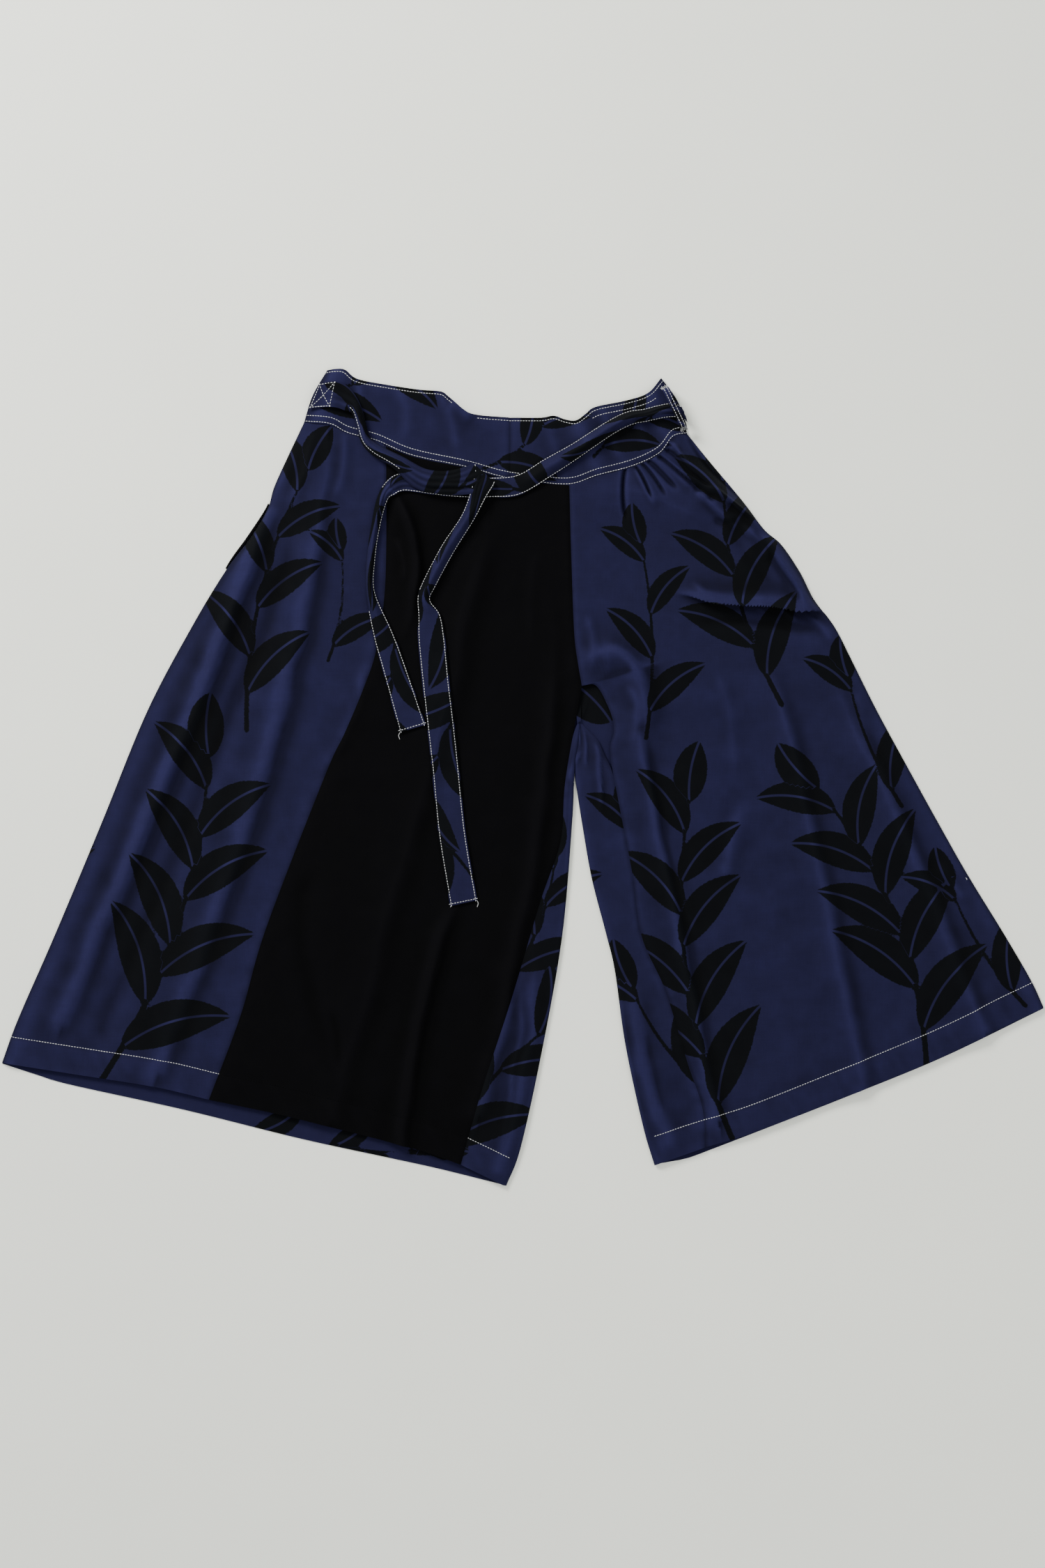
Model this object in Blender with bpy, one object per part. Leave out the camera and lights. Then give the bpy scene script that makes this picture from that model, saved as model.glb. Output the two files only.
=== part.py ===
"""Wide-leg culottes with a tie waist, laid out flat and seen from above.

Frame: metres, +X to the viewer's right, +Y towards the waist, +Z up off the surface.
The tables below are in millimetres, and "left" and "right" are the viewer's.
Each leg is a flattened tube: a back panel on the surface, which rolls up round the inner
fold on to the front as far as the inseam, and one or two front panels that lie on it.
"""
import math
from collections import namedtuple

import bmesh
import bpy
import numpy as np

MM = 0.001

# Middle of the outline's box in the tables' millimetres, which becomes the origin
ORIGIN = np.array([1.0, -0.4, 0.0])

# Cloth and gaps, in millimetres
CLOTH = 1.2
BAND_CLOTH = 1.8
TIE_CLOTH = 1.5
SEAM_GAP = 0.3
WAIST_GAP = 0.4
LAYER_GAP = 0.3
FRONT_REST = 4.4
FRONT_LOWEST = 2.6
BAND_REST = 4.6
EDGE_ROLL = 14.0

# Roll of a back panel round the inner fold: how far it bulges at most, how far at least,
# how much of that a wider strip on top adds, and the width that the roll takes up above it
FOLD_REACH = 4.0
FOLD_LEAST = 1.4
FOLD_GROWTH = 0.5
FOLD_WIDTH = 14.0

# Shares of a leg's height at which each roll has come up fully
LEFT_RISE_SHARE = 0.38
RIGHT_RISE_SHARE = 0.46

# Mesh density: rows down each part of a panel, columns across it
ROWS_TO_CROTCH = 13
ROWS_TO_HEM = 25
SIDE_COLUMNS = 8
CENTRE_COLUMNS = 11
RIGHT_COLUMNS = 17
FLOOR_COLUMNS = 4
ROLL_COLUMNS = 5
STRIP_COLUMNS = 3

# Share of a panel's height at which the rise ends and the inseam starts
CROTCH_SHARE = 0.3

# Outlines as (x, y) key points, joined by smooth curves
WAIST_SIDE = [(-225, 366), (-198, 363), (-180, 354), (-150, 346), (-140, 341)]
WAIST_CENTRE = [(-140, 341), (-114, 331), (-58, 319), (-26, 310), (10, 304), (49, 301)]
WAIST_RIGHT = [(49, 301), (78, 310), (115, 320), (142, 333), (156, 350), (171, 354)]
LEFT_SIDE_EDGE = [(-225, 366), (-243, 328), (-256, 299), (-263, 276), (-281, 246), (-306, 213),
                  (-341, 155), (-387, 68), (-434, -47), (-482, -162), (-520, -249), (-537, -295)]
RIGHT_SIDE_EDGE = [(171, 354), (192, 328), (228, 285), (250, 256), (268, 240), (287, 212), (301, 185),
                   (323, 155), (341, 120), (367, 68), (404, 0), (430, -47), (460, -100), (498, -162),
                   (526, -210), (539, -238)]
PANEL_SEAM = [(-140, 341), (-140, 230), (-143, 176), (-151, 128), (-164, 90), (-183, 45), (-203, 2),
              (-264, -156), (-290, -245), (-323, -333)]
CENTRE_SEAM = [(49, 301), (51, 230), (54, 150), (58, 117), (62, 94)]
LEFT_INSEAM = [(62, 94), (45, -3), (40, -66), (19, -129), (-11, -230), (-41, -322), (-63, -400)]
RIGHT_INSEAM = [(62, 94), (77, 94), (91, 68), (95, 48), (91, 26), (98, -16), (114, -99),
                (124, -165), (148, -220), (171, -295), (186, -340), (190, -382)]
LEFT_FOLD = [(62, 92), (58, 50), (54, 4), (52, -47), (42, -162), (22, -277), (-1, -382), (-16, -422)]
RIGHT_FOLD = [(62, 92), (60, 50), (56, 4), (62, -47), (72, -104), (87, -162), (96, -200), (107, -277),
              (125, -360), (137, -401)]
SIDE_HEM = [(-537, -295), (-460, -307), (-378, -320), (-323, -333)]
CENTRE_HEM = [(-323, -333), (-251, -348), (-186, -364), (-106, -385), (-63, -400)]
RIGHT_HEM = [(190, -382), (242, -366), (339, -328), (436, -288), (501, -256), (539, -238)]
LEFT_BACK_HEM = [(-537, -296), (-500, -308), (-466, -318), (-348, -344), (-227, -374), (-130, -395),
                 (-80, -406), (-16, -422)]
RIGHT_BACK_HEM = [(539, -239), (436, -289), (339, -329), (242, -367), (190, -387), (165, -396), (137, -401)]
BAND_TOP_LEFT = [(-201, 420), (-191, 421), (-182, 420), (-170, 411), (-140, 405), (-107, 400), (-84, 398),
                 (-76, 393), (-60, 379), (-48, 374), (-12, 371)]
BAND_TOP_RIGHT = [(-12, 371), (20, 371), (33, 373), (45, 369), (56, 368), (66, 375), (76, 382), (109, 389),
                  (130, 396), (144, 412)]
BAND_SEAM_LEFT = WAIST_SIDE[:-1] + WAIST_CENTRE[1:4] + [(-12, 307)]
BAND_SEAM_RIGHT = [(-12, 307), (10, 304), (49, 301)] + WAIST_RIGHT[1:]
BAND_LEFT_END = (-216, 394)
BAND_RIGHT_END = (162, 386)
BAND_MIDDLE = (-12, 340)
BAND_ROWS = 4
BACK_BAND_DROP = 5.0

# Folds of the front layer, as bent ridges (height over 0) and troughs (under 0).
# x0 y0 start, xm ym middle, x1 y1 end, reach: half width, rise: height,
# head and foot: share of the rise that is left at the start and the end.
Fold = namedtuple("Fold", "x0 y0 xm ym x1 y1 reach rise head foot")
FOLD_POINTS = 25
FOLD_END_SHARE = 0.25
FOLD_SHARPNESS = 1.3
FOLDS = [
    Fold(-263, 272, -330, 90, -474, -252, 16, 7.0, 0.6, 0.5),
    Fold(-236, 250, -296, 80, -436, -262, 15, -1.8, 0.2, 0.6),
    Fold(-201, 342, -252, 60, -374, -300, 24, 4.0, 0.3, 0.6),
    Fold(-138, 292, -118, 235, -142, 165, 11, 6.5, 0.3, 0.1),
    Fold(-112, 252, -104, 205, -118, 160, 10, -1.8, 0.0, 0.0),
    Fold(-62, -120, -100, -235, -121, -380, 14, 5.5, 0.0, 0.9),
    Fold(-209, -90, -228, -170, -190, -320, 12, -1.8, 0.0, 0.3),
    Fold(-35, 256, -82, 60, -196, -350, 32, 3.2, 0.2, 0.7),
    Fold(36, 150, 12, -90, -44, -345, 18, 3.8, 0.1, 0.8),
    Fold(117, 318, 124, 296, 131, 268, 8, 4.0, 0.8, 0.0),
    Fold(143, 329, 164, 316, 186, 292, 8, 6.5, 0.8, 0.1),
    Fold(157, 338, 196, 300, 250, 254, 10, 11.0, 0.8, 0.1),
    Fold(184, 292, 200, 276, 222, 256, 13, 8.0, 0.1, 0.1),
    Fold(212, 254, 236, 226, 266, 194, 9, -2.0, 0.0, 0.0),
    Fold(240, 258, 272, 222, 304, 166, 12, 8.0, 0.1, 0.2),
    Fold(150, 190, 240, 194, 318, 166, 12, 15.0, 0.0, 0.3),
    Fold(158, 168, 240, 168, 318, 146, 9, -2.0, 0.0, 0.0),
    Fold(58, 116, 112, 116, 110, 30, 17, 19.0, 0.2, 0.0),
    Fold(118, 70, 142, -60, 200, -350, 17, 6.0, 0.1, 0.7),
    Fold(246, 148, 300, -60, 352, -322, 28, 5.0, 0.0, 0.6),
    Fold(312, 120, 400, -70, 474, -262, 26, 5.0, 0.0, 0.6),
    Fold(230, -20, 216, -70, 206, -110, 10, 2.6, 0.0, 0.0),
    Fold(108, -200, 128, -300, 150, -372, 12, 4.0, 0.0, 0.6),
    Fold(14, -175, 6, -290, -24, -405, 9, 2.5, 0.2, 0.8),
]

# Folds of the waistband, with the same columns
BAND_FOLDS = [
    Fold(-192, 420, -196, 395, -205, 365, 16, 4.0, 0.8, 0.6),
    Fold(-74, 392, -60, 384, -44, 372, 12, 6.0, 0.2, 0.2),
    Fold(55, 368, 66, 345, 80, 312, 14, 3.0, 0.6, 0.4),
    Fold(128, 398, 140, 374, 154, 346, 14, 5.0, 0.8, 0.6),
]

# Ties: both edges across, height of the flat tie over the band or panel, and how high
# its middle arches where it is gathered up on edge
Station = namedtuple("Station", "xa ya xb yb lift arch")
LEFT_TIE = [
    Station(-209, 405, -220, 380, 0.9, 0.0),
    Station(-190, 407, -195, 381, 0.9, 0.0),
    Station(-177, 400, -183, 378, 1.8, 3.0),
    Station(-167, 384, -175, 375, 2.0, 7.0),
    Station(-161, 364, -170, 362, 1.6, 8.0),
    Station(-157, 350, -165, 345, 2.4, 8.0),
    Station(-146, 341, -155, 333, 3.4, 7.0),
    Station(-122, 329, -132, 318, 4.4, 6.0),
    Station(-99, 317, -110, 298, 5.2, 4.0),
    Station(-78, 315, -82, 291, 5.4, 3.0),
    Station(-59, 319, -50, 292, 5.6, 1.0),
    Station(-49, 322, -28, 303, 5.6, 1.0),
    Station(-51, 301, -37, 287, 5.2, 2.0),
    Station(-61, 271, -50, 264, 3.0, 6.0),
    Station(-82, 239, -70, 232, 1.2, 7.0),
    Station(-101, 203, -89, 197, 1.2, 7.0),
    Station(-107, 186, -95, 182, 1.2, 7.0),
    Station(-107, 166, -84, 167, 0.8, 3.0),
    Station(-107, 140, -79, 142, 0.6, 1.0),
    Station(-102, 90, -74, 92, 0.6, 0.6),
    Station(-94, 20, -66, 23, 0.6, 0.6),
    Station(-86, -60, -58, -56, 0.6, 0.6),
    Station(-74, -133, -46, -127, 0.6, 0.0),
]
RIGHT_TIE = [
    Station(165, 381, 171, 366, 1.0, 1.5),
    Station(157, 385, 163, 370, 1.0, 3.0),
    Station(147, 384, 154, 371, 1.0, 5.0),
    Station(128, 379, 132, 367, 1.0, 9.0),
    Station(108, 376, 113, 363, 1.0, 9.0),
    Station(86, 365, 92, 352, 1.0, 9.0),
    Station(55, 345, 62, 331, 1.0, 8.0),
    Station(24, 328, 32, 311, 1.0, 6.0),
    Station(-4, 312, -2, 291, 0.8, 1.5),
    Station(-32, 309, -32, 288, 0.7, 0.5),
    Station(-62, 309, -62, 288, 0.7, 0.4),
    Station(-90, 311, -92, 291, 0.6, 0.4),
    Station(-118, 314, -120, 295, 0.6, 0.8),
    Station(-135, 309, -131, 291, 0.6, 3.0),
    Station(-148, 290, -139, 285, 0.8, 6.0),
    Station(-155, 258, -147, 257, 0.8, 6.0),
    Station(-160, 222, -152, 222, 0.8, 6.0),
    Station(-160, 190, -152, 190, 0.8, 6.0),
    Station(-153, 146, -134, 151, 0.8, 3.0),
    Station(-144, 112, -121, 118, 0.6, 1.0),
    Station(-126, 46, -99, 54, 0.6, 0.0),
]
TIE_COLUMNS = 4
TIE_STEP = 14.0
TIE_ROUNDNESS = 1.6

# Width over which a tie's rest goes from the panels up to the band
WAIST_BLEND = 12.0

# Belt loop on the right: both ends of its middle line, its width and how high it arches
LOOP_TOP = (146, 403)
LOOP_FOOT = (168, 357)
LOOP_WIDTH = 7.0
LOOP_LIFT = 0.5
LOOP_ARCH = 12.6
LOOP_STEEPNESS = 2.6
LOOP_ROWS = 10
LOOP_COLUMNS = 2

# Left side pocket: the facing's edge that shows beside the opening, from and to these
# shares of the side edge's length
POCKET_FROM = 0.125
POCKET_TO = 0.235
POCKET_SHOWN = 3.5
POCKET_CLEAR = 0.8
POCKET_ROWS = 8
POCKET_COLUMNS = 2

NAVY = (0.016, 0.018, 0.062, 1.0)
BLACK = (0.002, 0.002, 0.003, 1.0)


def smooth(share):
    """Eased step from 0 to 1."""
    share = np.clip(share, 0.0, 1.0)
    return share * share * (3.0 - 2.0 * share)


def curve_through(points, per_span=12):
    """Dense points on a smooth curve through the key points."""
    keys = np.array(points, dtype=float)
    if len(keys) == 2:
        steps = np.linspace(0.0, 1.0, per_span + 1)[:, None]
        return keys[0] + (keys[1] - keys[0]) * steps
    padded = np.vstack([2 * keys[0] - keys[1], keys, 2 * keys[-1] - keys[-2]])
    dense = []
    for before, start, end, after in zip(padded, padded[1:], padded[2:], padded[3:]):
        for step in range(per_span):
            t = step / per_span
            dense.append(0.5 * (2 * start + (end - before) * t
                                + (2 * before - 5 * start + 4 * end - after) * t ** 2
                                + (3 * start - before - 3 * end + after) * t ** 3))
    dense.append(keys[-1])
    return np.array(dense)


def along(points, shares):
    """Points at the given shares of a curve's length."""
    dense = curve_through(points)
    lengths = np.concatenate([[0.0], np.cumsum(np.linalg.norm(np.diff(dense, axis=0), axis=1))])
    wanted = np.asarray(shares) * lengths[-1]
    return np.stack([np.interp(wanted, lengths, dense[:, axis]) for axis in range(dense.shape[1])], axis=1)


def two_part(upper, lower, rows):
    """A curve whose two halves meet at the crotch's share of the height."""
    above = rows <= CROTCH_SHARE
    top = along(upper, rows[above] / CROTCH_SHARE)
    bottom = along(lower, (rows[~above] - CROTCH_SHARE) / (1.0 - CROTCH_SHARE))
    return np.vstack([top, bottom])


def patch(top, bottom, first, last, rows, columns):
    """Grid of (x, y) between four edge curves: rows run down, columns from first to last."""
    v = rows[:, None, None]
    u = columns[None, :, None]
    across = (1 - v) * top[None, :, :] + v * bottom[None, :, :]
    down = (1 - u) * first[:, None, :] + u * last[:, None, :]
    corners = ((1 - v) * ((1 - u) * first[0] + u * last[0]) + v * ((1 - u) * first[-1] + u * last[-1]))
    return across + down - corners


def fold_relief(xy, folds):
    """Sum of the folds' heights at each point."""
    relief = np.zeros(xy.shape[:-1])
    for fold in folds:
        middle = (2 * fold.xm - (fold.x0 + fold.x1) / 2, 2 * fold.ym - (fold.y0 + fold.y1) / 2)
        t = np.linspace(0.0, 1.0, FOLD_POINTS)[:, None]
        line = ((1 - t) ** 2 * np.array([fold.x0, fold.y0]) + 2 * t * (1 - t) * np.array(middle)
                + t ** 2 * np.array([fold.x1, fold.y1]))
        gap = np.linalg.norm(xy[..., None, :] - line, axis=-1)
        nearest = gap.argmin(axis=-1)
        share = t[:, 0][nearest]
        head = fold.head + (1 - fold.head) * smooth(share / FOLD_END_SHARE)
        foot = fold.foot + (1 - fold.foot) * smooth((1 - share) / FOLD_END_SHARE)
        profile = np.exp(-FOLD_SHARPNESS * (gap.min(axis=-1) / fold.reach) ** 2)
        relief += fold.rise * head * foot * profile
    return relief


def front_level(xy):
    """Height of the front layer's middle, clear of the back layer under it."""
    level = FRONT_REST + fold_relief(xy, FOLDS)
    return np.maximum(level, FRONT_LOWEST)


def band_level(xy):
    """Height of the front waistband's middle."""
    return BAND_REST + fold_relief(xy, BAND_FOLDS)


def flat_band_level(xy):
    """Height of the back waistband's middle, flat on the surface."""
    return np.full(xy.shape[:-1], BAND_CLOTH / 2)


def with_edge(level, distance, lowest):
    """Lets a height fall to its lowest value at an edge."""
    share = np.clip(distance / EDGE_ROLL, 0.0, 1.0)
    return lowest + (level - lowest) * np.sqrt(1.0 - (1.0 - share) ** 2)


def inset_shares(columns, first_edge, last_edge):
    """Column shares moved in from both edges by half a seam gap, row by row."""
    width = np.linalg.norm(last_edge - first_edge, axis=1)[:, None]
    inset = SEAM_GAP / 2 / np.maximum(width, 1.0)
    return inset + (1.0 - 2 * inset) * columns[None, :]


def resample(grid, shares, base=None):
    """Moves each row's points to the given shares of its columns."""
    out = np.empty(grid.shape[:1] + shares.shape[1:] + grid.shape[2:])
    if base is None:
        base = np.linspace(0.0, 1.0, grid.shape[1])
    for row in range(grid.shape[0]):
        for axis in range(grid.shape[2]):
            out[row, :, axis] = np.interp(shares[row], base, grid[row, :, axis])
    return out


def unit_normals(grid):
    """Normals of a grid of points."""
    across = np.gradient(grid, axis=1)
    down = np.gradient(grid, axis=0)
    normal = np.cross(across, down)
    return normal / np.linalg.norm(normal, axis=2)[:, :, None]


def cloth_material(name, colour, roughness):
    """A plain cotton."""
    material = bpy.data.materials.new(name)
    material.use_nodes = True
    shader = material.node_tree.nodes["Principled BSDF"]
    shader.inputs["Base Color"].default_value = colour
    shader.inputs["Roughness"].default_value = roughness
    shader.inputs["Metallic"].default_value = 0.0
    return material


def wall(name, grid, thickness, material):
    """One closed sheet of cloth around a grid of points in millimetres, cut upright at its edges."""
    rows, columns = grid.shape[:2]
    normals = unit_normals(grid)
    for line in (normals[0], normals[-1], normals[:, 0], normals[:, -1]):
        upright = np.zeros_like(line)
        upright[:, 2] = np.where(line[:, 2] < 0, -1.0, 1.0)
        line[:] = upright
    offset = normals * thickness / 2
    mesh = bmesh.new()
    sides = []
    for side in (grid + offset, grid - offset):
        sides.append([[mesh.verts.new((point - ORIGIN) * MM) for point in line] for line in side])
    over, under = sides
    for i in range(rows - 1):
        for j in range(columns - 1):
            mesh.faces.new((over[i][j], over[i + 1][j], over[i + 1][j + 1], over[i][j + 1]))
            mesh.faces.new((under[i][j], under[i][j + 1], under[i + 1][j + 1], under[i + 1][j]))
    for i in range(rows - 1):
        for j in (0, columns - 1):
            mesh.faces.new((over[i][j], over[i + 1][j], under[i + 1][j], under[i][j]))
    for j in range(columns - 1):
        for i in (0, rows - 1):
            mesh.faces.new((over[i][j], over[i][j + 1], under[i][j + 1], under[i][j]))
    bmesh.ops.recalc_face_normals(mesh, faces=mesh.faces)
    bmesh.ops.triangulate(mesh, faces=mesh.faces, quad_method="FIXED")
    data = bpy.data.meshes.new(name)
    mesh.to_mesh(data)
    mesh.free()
    data.shade_smooth()
    data.set_sharp_from_angle(angle=math.radians(40))
    data.materials.append(material)
    piece = bpy.data.objects.new(name, data)
    bpy.context.collection.objects.link(piece)
    return piece


def lifted(xy, level):
    """Joins plan positions and heights."""
    return np.concatenate([xy, level[..., None]], axis=-1)


def panel_rows():
    """Shares of the height at which the panels have their rows."""
    upper = np.linspace(0.0, CROTCH_SHARE, ROWS_TO_CROTCH + 1)
    lower = np.linspace(CROTCH_SHARE, 1.0, ROWS_TO_HEM + 1)
    return np.concatenate([upper, lower[1:]])


def front_panel(edges, columns, outer_side):
    """Grid of a front panel between its waist, hem and two long edges."""
    waist, hem, first, last = edges
    rows = panel_rows()
    shares = np.linspace(0.0, 1.0, columns + 1)
    plan = patch(along(waist, shares), along(hem, shares), first, last, rows, shares)
    plan = resample(plan, inset_shares(shares, first, last))
    level = front_level(plan)
    if outer_side is not None:
        edge = first if outer_side == "first" else last
        distance = np.linalg.norm(plan - edge[:, None, :], axis=2)
        level = with_edge(level, distance, CLOTH + LAYER_GAP + CLOTH / 2)
    return lifted(plan, level)


def pushed_out(points, edge, inward):
    """Moves a rolled stretch inwards until its bulge reaches the fold line. Its end stays."""
    out = np.array(points)
    past = (out[:, :2] - edge) @ inward + CLOTH / 2
    peak = int(past.argmax())
    last = len(out) - 1
    if peak == last or past[peak] >= 0:
        return points
    share = np.interp(np.arange(last + 1), [0, peak, last], [0.5, 1.0, 0.0])
    out[:, :2] -= past[peak] * share[:, None] * inward
    return list(out)


def back_panel(waist, hem, side, inseam, fold, rise_share):
    """Grid of a back panel: flat on the surface, rolled round the inner fold, up to the inseam."""
    rows = panel_rows()
    centre = two_part(CENTRE_SEAM, fold, rows)
    shares = np.linspace(0.0, 1.0, FLOOR_COLUMNS + 1)
    floor = patch(along(waist, shares), along(hem, shares), side, centre, rows, shares)
    inward = centre - side
    inward = inward / np.linalg.norm(inward, axis=1)[:, None]
    rest = CLOTH / 2
    grid = np.zeros((len(rows), FLOOR_COLUMNS + ROLL_COLUMNS + STRIP_COLUMNS + 1, 3))
    for i, row in enumerate(rows):
        risen = float(smooth((row - CROTCH_SHARE) / (rise_share - CROTCH_SHARE)))
        fold_at = centre[i] - inward[i] * SEAM_GAP
        strip = np.linalg.norm(fold_at - inseam[i])
        seam_at = inseam[i] + (fold_at - inseam[i]) * min(0.4, SEAM_GAP / 2 / max(1.0, strip))
        reach = min(FOLD_REACH, FOLD_LEAST + FOLD_GROWTH * strip)
        roll_from = fold_at - inward[i] * reach
        top = float(front_level(roll_from))
        radius = (top - rest) / 2
        span = fold_at - inward[i] * (reach + 1.0)
        points = []
        for share in shares[:-1]:
            spot = floor[i, 0] + (span - floor[i, 0]) * share
            bend = np.array([np.interp(share, shares, floor[i, :, axis]) for axis in (0, 1)])
            straight = floor[i, 0] + (floor[i, -1] - floor[i, 0]) * share
            points.append(np.append(spot + bend - straight, rest))
        points.append(np.append(roll_from, rest))
        for step in range(1, ROLL_COLUMNS):
            turn = math.pi * step / ROLL_COLUMNS
            out = roll_from + inward[i] * reach * math.sin(turn)
            points.append(np.append(out, rest + radius * (1 - math.cos(turn))))
        for share in np.linspace(0.0, 1.0, STRIP_COLUMNS + 1):
            spot = roll_from + (seam_at - roll_from) * share
            points.append(np.append(spot, front_level(spot)))
        flat_from = fold_at - inward[i] * FOLD_WIDTH
        rolled = len(points) - FLOOR_COLUMNS
        for step in range(rolled):
            flat = flat_from + (fold_at - flat_from) * step / (rolled - 1)
            index = FLOOR_COLUMNS + step
            points[index] = points[index] * risen + np.append(flat, rest) * (1 - risen)
        points[FLOOR_COLUMNS:] = pushed_out(points[FLOOR_COLUMNS:], fold_at, inward[i])
        grid[i] = points
    return grid


def waist_line(grids):
    """The panels' top edge from left to right, with one point where two panels meet."""
    line = grids[0][0, :, :2]
    for grid in grids[1:]:
        row = grid[0, :, :2]
        line = np.vstack([line[:-1], (line[-1] + row[0]) / 2, row[1:]])
    return line


def cut_at(line, x):
    """Parts of a line left and right of a place."""
    spot = np.array([x, np.interp(x, line[:, 0], line[:, 1])])
    near = np.abs(line[:, 0] - x) > 2.0
    left = line[(line[:, 0] < x) & near]
    right = line[(line[:, 0] > x) & near]
    return np.vstack([left, spot]), np.vstack([spot, right])


def band_panel(top, seam, first, last, level_of, ends):
    """Grid of a piece of waistband between its top edge and the panels' top edge."""
    rows = np.linspace(0.0, 1.0, BAND_ROWS + 1)
    steps = np.concatenate([[0.0], np.cumsum(np.linalg.norm(np.diff(seam, axis=0), axis=1))])
    shares = steps / steps[-1]
    run = np.gradient(seam, axis=0)
    out = np.stack([-run[:, 1], run[:, 0]], axis=1) / np.linalg.norm(run, axis=1)[:, None]
    seam = seam + out * WAIST_GAP
    left = along([top[0], first, tuple(seam[0])], rows)
    right = along([top[-1], last, tuple(seam[-1])], rows)
    plan = patch(along(top, shares), seam, left, right, rows, shares)
    plan = resample(plan, inset_shares(shares, left, right), shares)
    level = level_of(plan)
    for end, edge in (("left", left), ("right", right)):
        if end in ends:
            distance = np.linalg.norm(plan - edge[:, None, :], axis=2)
            level = with_edge(level, distance, BAND_CLOTH * 1.5 + LAYER_GAP)
    return lifted(plan, level)


def surface_under(xy):
    """Top of whatever a tie lies on: the waistband or a front panel."""
    seam = np.vstack([curve_through(BAND_SEAM_LEFT), curve_through(BAND_SEAM_RIGHT)])
    order = np.argsort(seam[:, 0])
    seam_y = np.interp(xy[..., 0], seam[order, 0], seam[order, 1])
    on_band = smooth((xy[..., 1] - seam_y) / WAIST_BLEND + 0.5)
    band_top = band_level(xy) + BAND_CLOTH / 2
    panel_top = front_level(xy) + CLOTH / 2
    return panel_top + (band_top - panel_top) * on_band


def tie(name, stations, material):
    """A tie as a band of cloth through its stations, lying on what is under it."""
    keys = np.array(stations)
    middle = (keys[:, 0:2] + keys[:, 2:4]) / 2
    length = np.linalg.norm(np.diff(middle, axis=0), axis=1).sum()
    shares = np.linspace(0.0, 1.0, int(length / TIE_STEP) + 1)
    path = along(keys, shares)
    across = np.linspace(0.0, 1.0, TIE_COLUMNS + 1)
    grid = np.zeros((len(shares), TIE_COLUMNS + 1, 3))
    for j, share in enumerate(across):
        plan = path[:, 0:2] * (1 - share) + path[:, 2:4] * share
        hump = 1.0 - abs(2 * share - 1) ** TIE_ROUNDNESS
        grid[:, j, :2] = plan
        grid[:, j, 2] = surface_under(plan) + TIE_CLOTH / 2 + LAYER_GAP + path[:, 4] + path[:, 5] * hump
    return wall(name, grid, TIE_CLOTH, material)


def belt_loop(material):
    """The narrow loop that carries the right tie."""
    top = np.array(LOOP_TOP, dtype=float)
    foot = np.array(LOOP_FOOT, dtype=float)
    run = (foot - top) / np.linalg.norm(foot - top)
    side = np.array([-run[1], run[0]])
    grid = np.zeros((LOOP_ROWS + 1, LOOP_COLUMNS + 1, 3))
    for i in range(LOOP_ROWS + 1):
        share = i / LOOP_ROWS
        hump = min(1.0, math.sin(math.pi * share) * LOOP_STEEPNESS)
        for j in range(LOOP_COLUMNS + 1):
            plan = top + (foot - top) * share + side * LOOP_WIDTH * (j / LOOP_COLUMNS - 0.5)
            grid[i, j, :2] = plan
            grid[i, j, 2] = surface_under(plan) + CLOTH / 2 + LOOP_LIFT + LOOP_ARCH * hump
    return wall("belt_loop_right", grid, CLOTH, material)


def pocket_facing(material):
    """The edge of the pocket facing that shows beside the left side seam."""
    line = along(LEFT_SIDE_EDGE, np.linspace(POCKET_FROM, POCKET_TO, POCKET_ROWS + 1))
    run = np.gradient(line, axis=0)
    out = np.stack([run[:, 1], -run[:, 0]], axis=1) / np.linalg.norm(run, axis=1)[:, None]
    bulge = np.sin(np.linspace(0.15, 0.85, len(line)) * math.pi)
    grid = np.zeros((len(line), POCKET_COLUMNS + 1, 3))
    for j in range(POCKET_COLUMNS + 1):
        shown = POCKET_SHOWN * bulge * j / POCKET_COLUMNS
        grid[:, j, :2] = line + out * (POCKET_CLEAR + shown)[:, None]
        grid[:, j, 2] = CLOTH / 2
    return wall("pocket_facing_left", grid, CLOTH, material)


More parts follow.
